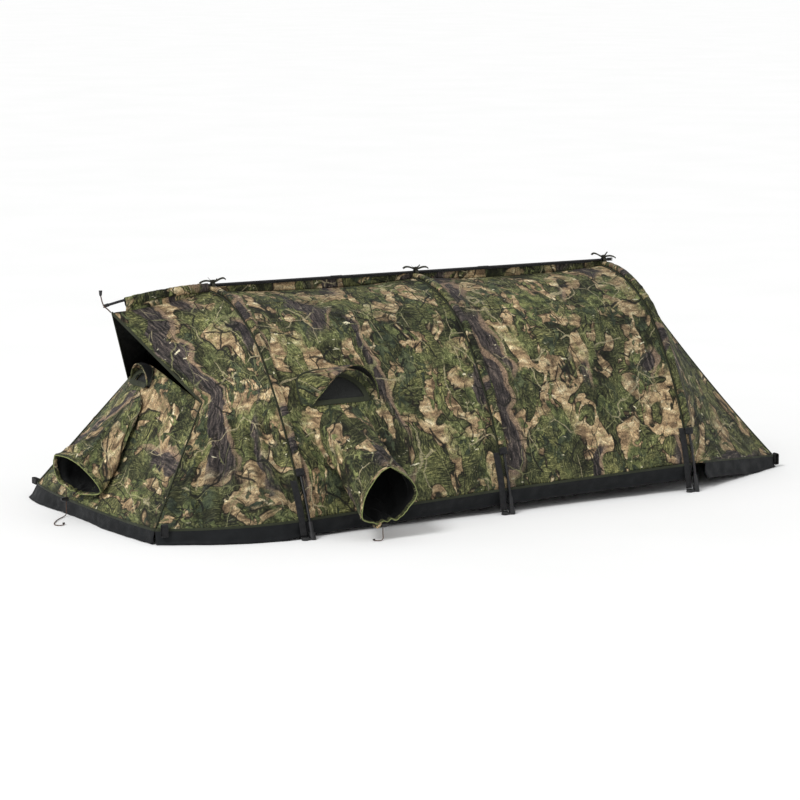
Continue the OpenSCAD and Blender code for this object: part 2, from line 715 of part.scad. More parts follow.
// Barrel on a vertical cord, with the bore for its button running away from the cord along X
module cord_lock(p, way) {
    color(black)
        translate(p)
            rotate([0, 0, way > 0 ? 0 : 180])
            difference() {
                translate([-lock_back, 0, 0]) rotate([0, 90, 0]) cylinder(h = lock_back + lock_mouth, r = lock_r);
                translate([button_seat, 0, 0]) rotate([0, 90, 0]) cylinder(h = lock_mouth, r = button_r + 0.3);
                cylinder(h = 4 * lock_r, r = cord_d / 2 + 0.7, center = true, $fn = 24);
            }
}

module lock_button(p, way) {
    foot = button_seat + 4.4;
    color(black)
        translate([p[0] + way * foot, p[1], p[2]])
            rotate([0, way * 90, 0])
                cylinder(h = lock_mouth - foot + button_out, r = button_r);
}

// ---------------------------------------------------------------- hoods over the windows
module hood(centre, out, down, across, w, h, reach, lift = 3) {
    wall = function(a) centre + across * (w + 8) * cos(a) - down * (h + 12) * sin(a) + out * lift;
    rim = function(a) centre + across * w * cos(a) - down * h * sin(a) + out * (lift + reach * sin(a));
    color(camo)
        sheet([for (a = steps(14)) [for (k = steps(3)) mix(wall(mix(4, 176, a)), rim(mix(4, 176, a)), k)]], 1.6);
}

module front_hood() {
    hood(panel_top(0) + (front_window_drop - 2) * panel_down, panel_out, panel_down, [0, 1, 0], 62, 52, 34);
}

module side_hood() {
    at = wall_at(window_z - 6);
    hood([-552, at[1], at[2]], side_out, side_down, [-1, 0, 0], 134, 100, 52, 6);
}

// ---------------------------------------------------------------- trim
// Webbing loops for ground pegs at the four corners of the hem, tilted about X and turned about Z
loop_w = 20;
module peg_loop(p, tilt = 0, turn = 0) {
    color(black)
        translate(p)
            rotate([90 + tilt, 0, turn])
                linear_extrude(loop_w, center = true)
                    difference() {
                        union() {
                            translate([-8, 0]) square([16, 32]);
                            translate([0, 32]) circle(8);
                        }
                        translate([-6, 6]) square([12, 26]);
                        translate([0, 32]) circle(6);
                    }
}

module front_peg_loops() {
    peg_loop([front_x + 46, front_hem_shift - front_hem_w - 29, 26], 0, 90);
    peg_loop([front_x + 40, front_hem_shift + front_hem_w + 28, 44], -90);
}

module tail_peg_loops() {
    for (side = [-1, 1]) peg_loop([tail_x + 4, side * (tail_hem_w - 2), 8]);
}

// Tape ties that lash the ridge pole to each hoop sleeve, each with its bow
module hoop_ties() {
    color(camo)
        for (i = [FRONT, MIDDLE, REAR])
            translate([hoop_x[i], 0, ridge_z + pole_r + 0.6]) {
                translate([-8, -12, 0]) cube([16, 24, 4.8]);
                translate([-28, -7, 5]) cube([56, 14, 7]);
                translate([16, -5, 12.2]) rotate([0, -48, 0]) cube([32, 10, 2]);
            }
}

ridge_tip = [hoop_x[FRONT] - ridge_bend_r * sin(ridge_bend_a), 0, ridge_z - ridge_bend_r * (1 - cos(ridge_bend_a))];
apex_route = [[-1109, 0, 648], [-1114, -5, 651], [-1120, -9, 656], [-1127, -10, 662], [-1134, -9, 668],
              [-1139, -8, 676], [-1142, -7, 685], [-1144, -6, 695], [-1146, -5, 704]];

module apex_cord() {
    color(black) rope(apex_route, 4, [0, 1, 0]);
}

module apex_toggle() {
    color(black) translate(apex_route[8] + [0, 0, 0.4]) cylinder(h = 16, r1 = 4.2, r2 = 5.6);
}

front_lock_at = [-1262, 24, 56];
side_lock_at = [-565, -803, 46];

hoop_pole(FRONT);  // front_hoop_pole
hoop_pole(MIDDLE);  // middle_hoop_pole
hoop_pole(REAR);  // rear_hoop_pole
hoop_ferrules(FRONT);  // front_hoop_ferrules
hoop_ferrules(MIDDLE);  // middle_hoop_ferrules
hoop_ferrules(REAR);  // rear_hoop_ferrules
end_caps(FRONT);  // front_end_caps
end_caps(MIDDLE);  // middle_end_caps
end_caps(REAR);  // rear_end_caps
foot_clips(FRONT);  // front_foot_clips
foot_clips(MIDDLE);  // middle_foot_clips
foot_clips(REAR);  // rear_foot_clips
foot_straps();
hoop_sleeve(FRONT);  // front_hoop_sleeve
hoop_sleeve(MIDDLE);  // middle_hoop_sleeve
hoop_sleeve(REAR);  // rear_hoop_sleeve
ridge_pole();
ridge_ferrules();
ridge_pole_tips();
ridge_sleeve();
ridge_welts();
near_front_bay();
color(camo) bay(FRONT, 1);  // far_front_bay
color(camo) bay(MIDDLE, -1);  // near_rear_bay
far_rear_bay();
canopy(-1);  // near_canopy
canopy(1);  // far_canopy
front_panel();
tail_panel(-1, -tail_corner - crease_t, 8);  // near_tail_panel
tail_panel(-tail_corner + crease_t, tail_corner - crease_t, 12);  // rear_tail_panel
tail_panel(tail_corner + crease_t, 1, 8);  // far_tail_panel
front_skirt();
near_skirt();
far_skirt();
tail_skirt();
lens_sleeve(front_rings);  // front_lens_sleeve
sleeve_hem(front_rings[4]);  // front_sleeve_hem
color(black) rope(front_cord_route, cord_d, [0, 1, 0]);  // front_drawcord
cord_lock(front_lock_at, -1);  // front_cord_lock
lock_button(front_lock_at, -1);  // front_lock_button
lens_sleeve(side_rings);  // side_lens_sleeve
sleeve_hem(side_rings[4]);  // side_sleeve_hem
color(black) rope(side_cord_route, cord_d, [1, 0, 0]);  // side_drawcord
cord_lock(side_lock_at, 1);  // side_cord_lock
lock_button(side_lock_at, 1);  // side_lock_button
front_hood();
side_hood();
front_window_mesh();
side_window_mesh();
door_flap();
door_zips();
zip_slider(0);  // front_zip_slider
zip_slider(1);  // rear_zip_slider
front_peg_loops();
tail_peg_loops();
hoop_ties();
apex_cord();
apex_toggle();
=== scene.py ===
import math

import bpy
import numpy as np
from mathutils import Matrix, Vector


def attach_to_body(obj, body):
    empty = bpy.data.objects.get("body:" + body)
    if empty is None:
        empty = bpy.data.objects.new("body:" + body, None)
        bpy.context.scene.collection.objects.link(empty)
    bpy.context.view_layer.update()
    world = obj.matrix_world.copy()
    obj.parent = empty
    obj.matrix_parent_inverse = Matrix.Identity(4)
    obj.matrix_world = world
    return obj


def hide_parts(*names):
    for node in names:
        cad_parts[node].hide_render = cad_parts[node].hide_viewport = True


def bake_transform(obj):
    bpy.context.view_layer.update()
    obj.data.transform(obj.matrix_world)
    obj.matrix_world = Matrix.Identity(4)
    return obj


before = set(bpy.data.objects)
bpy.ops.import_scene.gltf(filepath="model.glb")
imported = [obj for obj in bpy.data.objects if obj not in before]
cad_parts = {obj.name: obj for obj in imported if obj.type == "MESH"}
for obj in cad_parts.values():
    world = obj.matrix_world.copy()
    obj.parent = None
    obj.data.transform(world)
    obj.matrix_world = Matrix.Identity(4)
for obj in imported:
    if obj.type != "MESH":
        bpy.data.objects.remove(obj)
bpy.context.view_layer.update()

# Lengths are millimetres until a mesh is made, and the frame is the CAD's:
# +X to the tail, -Y to the side with the side sleeve, +Z up.
MM = 0.001
FRONT, MIDDLE, REAR = 0, 1, 2
SIDES = ((-1, "near"), (1, "far"))

# ------------------------------------------------------------------ the CAD's numbers
HOOP_X = (-750.0, 0.0, 740.0)
HOOP_W = (693.0, 632.0, 586.0)
HOOP_H = 703.0
LEG_ANGLE = (70.0, 79.0, 81.0)
CROWN_ANGLE = 50.0
HEM_Z = (58.0, 78.0, 90.0)
SKIN_IN = 7.75
RIDGE_Z = 715.0
POLE_R = 4.25
RIDGE_BEND_R = 1611.0
RIDGE_SAG = 16.0
FRONT_X, TAIL_X, PEAK_X, PEAK_Z = -1235.0, 1240.0, -1105.0, 646.0
FRONT_HEM_W, FRONT_HEM_SHIFT, TAIL_HEM_W, SKIRT_H = 457.0, -72.0, 327.0, 45.0
WINDOW_CORNER = np.array((-925.0, 278.0, 381.0))
WINDOW_SHARE = 0.5
TAIL_CORNER = 0.36
SLEEVE_R = 86.0
CLOTH = 1.4
SLEEVE_END_Z = 190.0
PEG_OFFSET, CLIP_H, STRAP_W = 27.0, 10.0, 22.0
DOOR_X, DOOR_TOP = (130.0, 610.0), 520.0
SIDE_WINDOW_X, SIDE_WINDOW_Z = -545.0, 384.0
FRONT_WINDOW_DROP = 70.0

FRONT_CORD = [(-1262, 20, 108), (-1262, 23, 101), (-1262, 24, 93), (-1262, 24, 85), (-1262, 24, 77),
              (-1262, 24, 69), (-1262, 24, 61), (-1262, 24, 53), (-1262, 24, 45), (-1262, 24, 37),
              (-1262, 24, 29), (-1262, 24, 21), (-1262, 24, 14), (-1264, 22, 8), (-1269, 18, 4),
              (-1277, 11, 2.5), (-1287, 2, 2), (-1297, -8, 2), (-1307, -18, 2), (-1316, -29, 2),
              (-1325, -41, 2), (-1333, -53, 2), (-1341, -65, 2), (-1348, -78, 2), (-1353, -91, 2),
              (-1355, -104, 2), (-1350, -114, 2), (-1340, -117, 2), (-1330, -111, 2), (-1325, -101, 2)]
SIDE_CORD = [(-565, -803, 60), (-565, -803, 52), (-565, -803, 44), (-565, -803, 36), (-565, -803, 29),
             (-565, -803, 22), (-565, -804, 14), (-566, -807, 8), (-570, -811, 4), (-575, -815, 2.5),
             (-581, -817, 2), (-587, -816, 2), (-593, -812, 2), (-597, -806, 2)]
APEX_CORD = [(-1109, 0, 648), (-1114, -5, 651), (-1120, -9, 656), (-1127, -10, 662), (-1134, -9, 668),
             (-1139, -8, 676), (-1142, -7, 685), (-1144, -6, 695), (-1146, -5, 704)]

# ------------------------------------------------------------------ small maths


def unit(v):
    v = np.asarray(v, float)
    return v / np.maximum(np.linalg.norm(v, axis=-1, keepdims=True), 1e-9)


def mix(a, b, t):
    return a + (b - a) * t


def hump(t):
    return 4 * t * (1 - t)


def smooth(t):
    t = np.clip(t, 0, 1)
    return t * t * (3 - 2 * t)


def sin(a):
    return np.sin(np.radians(a))


def cos(a):
    return np.cos(np.radians(a))


def noise(x, y, seed):
    """Smooth noise between -1 and 1, the same on every run."""
    xi, yi = np.floor(x), np.floor(y)
    fx, fy = smooth(x - xi), smooth(y - yi)

    def corner(a, b):
        h = np.sin((xi + a) * 127.1 + (yi + b) * 311.7 + seed * 74.7) * 43758.5453
        return 2 * (h - np.floor(h)) - 1

    low = mix(corner(0, 0), corner(1, 0), fx)
    high = mix(corner(0, 1), corner(1, 1), fx)
    return mix(low, high, fy)


def folds(x, y, seed):
    """Two octaves of noise, sharpened so that it reads as creased cloth."""
    n = noise(x, y, seed) + 0.45 * noise(2.1 * x, 2.1 * y, seed + 5)
    return 1 - 2 * np.sqrt(np.abs(n) + 0.02)


def points_of(x, y, z):
    return np.stack(np.broadcast_arrays(x, y, z), -1).astype(float)


# ------------------------------------------------------------------ the skin's shape


def hoop_radii(i):
    s1, c1, s2, c2 = sin(CROWN_ANGLE), cos(CROWN_ANGLE), sin(LEG_ANGLE[i]), cos(LEG_ANGLE[i])
    return np.linalg.solve([[s1, s2 - s1], [1 - c1, c1 - c2]], [HOOP_W[i], HOOP_H])


def hoop_point(i, a, d):
    """[y, z] at angle a from the crown, a distance d inside the pole's centre line."""
    crown, leg = hoop_radii(i)
    side = np.where(a < 0, -1, 1)
    on_crown = np.abs(a) <= CROWN_ANGLE
    r = np.where(on_crown, crown, leg)
    cy = np.where(on_crown, 0, side * (crown - leg) * sin(CROWN_ANGLE))
    cz = HOOP_H - crown + np.where(on_crown, 0, (crown - leg) * cos(CROWN_ANGLE))
    return cy + (r - d) * sin(a), cz + (r - d) * cos(a)


def hoop_angle(i, z, d):
    crown, leg = hoop_radii(i)
    return np.degrees(np.arccos((z - HOOP_H + crown - (crown - leg) * cos(CROWN_ANGLE)) / (leg - d)))


def rib_angle(i, t):
    low = hoop_angle(i, HEM_Z[i], SKIN_IN)
    m = np.abs(t)
    return np.sign(t) * np.where(m <= 0.5, 2 * CROWN_ANGLE * m, mix(CROWN_ANGLE, low, 2 * m - 1))


def rib(i, t):
    y, z = hoop_point(i, rib_angle(i, t), SKIN_IN)
    return points_of(HOOP_X[i], y, z)


def outward(a):
    """Direction out of the arch at angle a, as points."""
    return points_of(0, sin(a), cos(a))


def bay_point(i, s, t):
    a = mix(rib_angle(i, t), rib_angle(i + 1, t), s)
    dip = mix(RIDGE_SAG, 5, np.abs(t) ** 1.5) * hump(s)
    return mix(rib(i, t), rib(i + 1, t), s[..., None]) - dip[..., None] * outward(a)


def canopy_edge(t):
    m = np.abs(t)[..., None]
    peak = np.array((PEAK_X, 0, PEAK_Z))
    low = np.array((FRONT_X + 28, FRONT_HEM_W, SKIRT_H))
    p = np.where(m <= WINDOW_SHARE, mix(peak, WINDOW_CORNER, m / WINDOW_SHARE),
                 mix(WINDOW_CORNER, low, (m - WINDOW_SHARE) / (1 - WINDOW_SHARE)))
    pegged = FRONT_HEM_SHIFT * np.maximum(0, np.abs(t) - WINDOW_SHARE) / (1 - WINDOW_SHARE)
    return p * points_of(1, np.sign(t), 1) + points_of(0, pegged, 0)


def canopy_point(s, t):
    m, a = np.abs(t), rib_angle(FRONT, t)
    belly = mix(-6, 48, smooth((m - 0.55) / 0.45)) * hump(s)
    out = points_of(0, sin(a), cos(a) * (1 - m))
    return mix(canopy_edge(t), rib(FRONT, t), s[..., None]) + belly[..., None] * out


def front_hem(u):
    return points_of(FRONT_X + 28 * np.abs(u) ** 3, FRONT_HEM_W * u + FRONT_HEM_SHIFT * u * u, SKIRT_H)


def panel_top(u):
    m = np.abs(u)
    return points_of(mix(-975, WINDOW_CORNER[0], m * m), WINDOW_CORNER[1] * u,
                     mix(470, WINDOW_CORNER[2], m ** 1.4))


def panel_point(u, v):
    out = 8 * hump(v) * (1 - u * u)
    return mix(panel_top(u), front_hem(u), v[..., None]) + points_of(out, 0, 0)


def tail_hem(t):
    m, end = np.abs(t), rib(REAR, np.sign(t) + 0.0)
    corner = points_of(TAIL_X - 8, TAIL_HEM_W, SKIRT_H - 5)
    low = points_of(end[..., 0] + 40, np.abs(end[..., 1]) - 8, HEM_Z[REAR])
    inner = points_of(TAIL_X - 8 * (m / TAIL_CORNER) ** 2, TAIL_HEM_W * m / TAIL_CORNER, SKIRT_H - 5)
    side = ((m - TAIL_CORNER) / (1 - TAIL_CORNER))[..., None]
    p = np.where((m <= TAIL_CORNER)[..., None], inner, mix(corner, low, side))
    return p * points_of(1, np.where(t < 0, -1, 1), 1)


def tail_point(s, t):
    a = rib_angle(REAR, t)
    return mix(rib(REAR, t), tail_hem(t), s[..., None]) - (14 * hump(s))[..., None] * outward(a)


PANEL_DOWN = unit(front_hem(0.0) - panel_top(0.0))
PANEL_OUT = np.array((PANEL_DOWN[2], 0, -PANEL_DOWN[0]))


def wall_point(z):
    """Point of the near wall at the side sleeve's place and height z."""
    s = np.full(400, (SIDE_WINDOW_X - HOOP_X[FRONT]) / -HOOP_X[FRONT])
    p = bay_point(FRONT, s, np.linspace(-1, 0, 400))
    return np.array([np.interp(z, p[:, 2], p[:, k]) for k in range(3)])


SIDE_DOWN = unit(wall_point(200) - wall_point(372))
SIDE_OUT = np.array((0, SIDE_DOWN[2], -SIDE_DOWN[1]))

# ------------------------------------------------------------------ meshes


def arc_lengths(rows):
    """Metres along the first axis of a grid of points, for texture coordinates."""
    step = np.linalg.norm(np.diff(rows, axis=0), axis=-1)
    return np.concatenate([np.zeros((1,) + step.shape[1:]), np.cumsum(step, 0)], 0) * MM


def grid(name, rows, wrap=False, keep=None, uv_at=(0.0, 0.0), materials=(), caps=False):
    """A mesh through a grid of points (mm), with texture coordinates in metres along the cloth."""
    rows = np.asarray(rows, float)
    n, m = rows.shape[:2]
    uv = np.stack([arc_lengths(rows).mean(1, keepdims=True) + np.zeros((n, m)),
                   arc_lengths(rows.transpose(1, 0, 2)).mean(1)[None, :] + np.zeros((n, m))], -1) + uv_at
    faces, face_uv = [], []
    for i in range(n - 1):
        for j in range(m if wrap else m - 1):
            if keep is not None and not keep[i, j]:
                continue
            k = (j + 1) % m
            faces.append((i * m + j, (i + 1) * m + j, (i + 1) * m + k, i * m + k))
            u0, u1, v0 = uv[i, j, 0], uv[i + 1, j, 0], uv[i, j, 1]
            v1 = uv[i, k, 1] if k else v0 + (uv[0, -1, 1] - uv[0, 0, 1]) / (m - 1)
            face_uv += [(u0, v0), (u1, v0), (u1, v1), (u0, v1)]
    if caps:
        faces += [tuple(range(m)), tuple((n - 1) * m + k for k in range(m))[::-1]]
        face_uv += [tuple(uv_at)] * (2 * m)
    mesh = bpy.data.meshes.new(name)
    mesh.from_pydata((rows.reshape(-1, 3) * MM).tolist(), [], faces)
    layer = mesh.uv_layers.new(name="cloth")
    layer.data.foreach_set("uv", np.asarray(face_uv, np.float32).ravel())
    mesh.polygons.foreach_set("use_smooth", [True] * len(faces))
    for material in materials:
        mesh.materials.append(material)
    obj = bpy.data.objects.new(name, mesh)
    bpy.context.scene.collection.objects.link(obj)
    return obj


def thicken(obj, thickness=CLOTH, lined=True):
    """Gives a cloth surface its thickness on the inside, with the lining as the second material."""
    solid = obj.modifiers.new("thickness", "SOLIDIFY")
    solid.thickness = thickness * MM
    solid.offset = -1
    solid.use_even_offset = False
    if lined:
        solid.material_offset = 1
    return obj


def catmull(path, per_span=4):
    """A smooth run of points through a route."""
    p = np.asarray(path, float)
    p = np.vstack([2 * p[0] - p[1], p, 2 * p[-1] - p[-2]])
    out = []
    for a, b, c, d in zip(p[:-3], p[1:-2], p[2:-1], p[3:]):
        for t in np.arange(per_span) / per_span:
            out.append(0.5 * (2 * b + (c - a) * t + (2 * a - 5 * b + 4 * c - d) * t * t
                              + (3 * b - a - 3 * c + d) * t ** 3))
    return np.array(out + [p[-2]])


def sweep(path, side, profile):
    """Rings of a profile along a path. side is the profile's first direction, and may vary along the path."""
    path = np.asarray(path, float)
    along = unit(np.gradient(path, axis=0))
    side = np.broadcast_to(np.asarray(side, float), path.shape)
    first = unit(side - (side * along).sum(-1, keepdims=True) * along)
    second = np.cross(along, first)
    profile = np.asarray(profile, float)
    if profile.ndim == 2:
        profile = np.broadcast_to(profile, (len(path),) + profile.shape)
    return (path[:, None] + profile[..., :1] * first[:, None] + profile[..., 1:] * second[:, None])


def ellipse(a, b, n=20, power=1.0):
    k = np.arange(n) * 2 * np.pi / n
    c, s = np.cos(k), np.sin(k)
    return np.stack([a * np.sign(c) * np.abs(c) ** power, b * np.sign(s) * np.abs(s) ** power], -1)


def tube(name, path, side, profile, materials, uv_at=(0, 0)):
    return grid(name, sweep(path, side, profile), wrap=True, caps=True, materials=materials, uv_at=uv_at)


def strap(name, path, side, width, material, thick=1.4, per_span=4):
    """Flat webbing or ribbon with rounded edges. side is the direction across it."""
    route = catmull(path, per_span) if per_span > 1 else np.asarray(path, float)
    if np.ndim(side) == 2 and len(side) != len(route):
        side = catmull(side, per_span)
    return tube(name, route, side, ellipse(width / 2, thick / 2, 12, 0.35), [material])


def attach(obj, node=None, body="shelter"):
    """Rides a piece on its body, and hides the CAD node it stands for."""
    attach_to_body(obj, body)
    if node:
        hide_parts(node)


def join(name, objects):
    """Merges meshes that share materials into one object."""
    base = objects[0]
    with bpy.context.temp_override(active_object=base, selected_editable_objects=objects):
        bpy.ops.object.join()
    base.name = name
    return base


def stitch_line(path, normals, pitch=7.0, length=4.2, lift=0.25, thick=0.7):
    """Grids of short thread dashes along a seam."""
    path, normals = np.asarray(path, float), unit(normals)
    at = np.concatenate([[0], np.cumsum(np.linalg.norm(np.diff(path, axis=0), axis=1))])
    starts = np.arange(pitch / 2, at[-1] - length, pitch)

    def place(d, rows):
        return np.stack([np.interp(d, at, rows[:, k]) for k in range(3)], -1)

    verts, faces = [], []
    for k, d in enumerate(starts):
        a, b = place(d, path), place(d + length, path)
        n = unit(place(d, normals))
        w = unit(np.cross(b - a, n)) * thick / 2
        top = n * (lift + thick / 2)
        verts += [a - w, a + w, b + w, b - w, mix(a, b, 0.15) + top, mix(a, b, 0.85) + top]
        o = 6 * k
        faces += [(o, o + 4, o + 5, o + 3), (o + 1, o + 2, o + 5, o + 4), (o, o + 1, o + 4),
                  (o + 3, o + 5, o + 2), (o, o + 3, o + 2, o + 1)]
    return verts, faces


def stitches(name, lines, material):
    """One object that holds the thread of several seams, given as (path, normals)."""
    verts, faces = [], []
    for path, normals in lines:
        v, f = stitch_line(path, normals)
        faces += [tuple(len(verts) + k for k in face) for face in f]
        verts += v
    mesh = bpy.data.meshes.new(name)
    mesh.from_pydata((np.array(verts) * MM).tolist(), [], faces)
    mesh.materials.append(material)
    obj = bpy.data.objects.new(name, mesh)
    bpy.context.scene.collection.objects.link(obj)
    return obj


def declare_sheet(rows, wrap=False):
    """Measures the cloth's longest row and column, and keeps neither."""
    rows = np.asarray(rows, float)
    across = arc_lengths(rows.transpose(1, 0, 2))[-1].max()
    if wrap:
        across *= rows.shape[1] / (rows.shape[1] - 1)
    along = arc_lengths(rows)[-1].max()


# ------------------------------------------------------------------ materials


class Tree:
    """A material's nodes, with a short call for each kind that is used here."""

    def __init__(self, name):
        self.material = bpy.data.materials.new(name)
        self.material.use_nodes = True
        self.nodes = self.material.node_tree.nodes
        self.links = self.material.node_tree.links
        self.shader = self.nodes["Principled BSDF"]

    def add(self, kind, inputs, output=0, **settings):
        node = self.nodes.new(kind)
        for key, value in settings.items():
            setattr(node, key, value)
        for key, value in inputs.items():
            self.put(node.inputs[key], value)
        return node.outputs[output]

    def put(self, socket, value):
        if isinstance(value, bpy.types.NodeSocket):
            self.links.new(value, socket)
        else:
            socket.default_value = value

    def uv(self):
        return self.add("ShaderNodeUVMap", {}, uv_map="cloth")

    def place(self):
        return self.add("ShaderNodeTexCoord", {}, "Object")

    def shift(self, vector, scale=(1, 1, 1), turn=0.0, move=(0, 0, 0)):
        return self.add("ShaderNodeMapping", {"Vector": vector, "Scale": scale, "Location": move,
                                              "Rotation": (0, 0, math.radians(turn))})

    def noise(self, vector, scale, detail=2.0, rough=0.5, twist=0.0, output="Fac"):
        return self.add("ShaderNodeTexNoise", {"Vector": vector, "Scale": scale, "Detail": detail,
                                               "Roughness": rough, "Distortion": twist}, output)

    def cells(self, vector, scale, feature="F1", output="Distance"):
        return self.add("ShaderNodeTexVoronoi", {"Vector": vector, "Scale": scale}, output, feature=feature)

    def wave(self, vector, scale, direction="X"):
        return self.add("ShaderNodeTexWave", {"Vector": vector, "Scale": scale}, "Fac",
                        bands_direction=direction)

    def warp(self, vector, scale, amount):
        """The vector pushed about by noise."""
        push = self.vector("SUBTRACT", self.noise(vector, scale, 2.0, output="Color"), (0.5, 0.5, 0.5))
        return self.vector("ADD", vector, self.vector("SCALE", push, scale=amount))

    def vector(self, operation, a, b=None, scale=None):
        node = self.nodes.new("ShaderNodeVectorMath")
        node.operation = operation
        self.put(node.inputs[0], a)
        if b is not None:
            self.put(node.inputs[1], b)
        if scale is not None:
            node.inputs["Scale"].default_value = scale
        return node.outputs[0]

    def math(self, operation, a, b=0.0, clamp=False):
        node = self.nodes.new("ShaderNodeMath")
        node.operation = operation
        node.use_clamp = clamp
        self.put(node.inputs[0], a)
        self.put(node.inputs[1], b)
        return node.outputs[0]

    def band(self, value, low, high, start=0.0, end=1.0):
        """value from low to high becomes start to end, smoothly."""
        inputs = {"Value": value, "From Min": low, "From Max": high, "To Min": start, "To Max": end}
        return self.add("ShaderNodeMapRange", inputs, interpolation_type="SMOOTHSTEP")

    def ramp(self, value, stops, constant=False):
        node = self.nodes.new("ShaderNodeValToRGB")
        ramp = node.color_ramp
        ramp.interpolation = "CONSTANT" if constant else "LINEAR"
        while len(ramp.elements) < len(stops):
            ramp.elements.new(0.5)
        for element, (position, colour) in zip(ramp.elements, stops):
            element.position = position
            element.color = (*colour, 1)
        self.put(node.inputs["Fac"], value)
        return node.outputs["Color"]

    def blend(self, share, a, b, kind="MIX"):
        node = self.nodes.new("ShaderNodeMixRGB")
        node.blend_type = kind
        self.put(node.inputs[0], share)
        for socket, value in ((node.inputs[1], a), (node.inputs[2], b)):
            self.put(socket, (*value, 1) if isinstance(value, tuple) and len(value) == 3 else value)
        return node.outputs[0]

    def bump(self, height, distance, strength=1.0, normal=None):
        inputs = {"Height": height, "Distance": distance, "Strength": strength}
        if normal is not None:
            inputs["Normal"] = normal
        return self.add("ShaderNodeBump", inputs)

    def finish(self, colour, rough, normal=None, **sockets):
        self.put(self.shader.inputs["Base Color"], (*colour, 1) if isinstance(colour, tuple) else colour)
        self.put(self.shader.inputs["Roughness"], rough)
        if normal is not None:
            self.put(self.shader.inputs["Normal"], normal)
        for key, value in sockets.items():
            self.put(self.shader.inputs[key.replace("_", " ")], value)
        return self.material


def weave_bump(t, uv, count, distance, normal=None):
    """Threads crossing at right angles, count waves to the metre."""
    over = t.math("MAXIMUM", t.wave(uv, count, "X"), t.wave(uv, count, "Y"))
    return t.bump(over, distance, 0.5, normal)


GRASS = [(0.30, (0.008, 0.009, 0.006)), (0.42, (0.028, 0.032, 0.018)), (0.52, (0.070, 0.076, 0.040)),
         (0.62, (0.150, 0.155, 0.080)), (0.74, (0.330, 0.330, 0.190))]


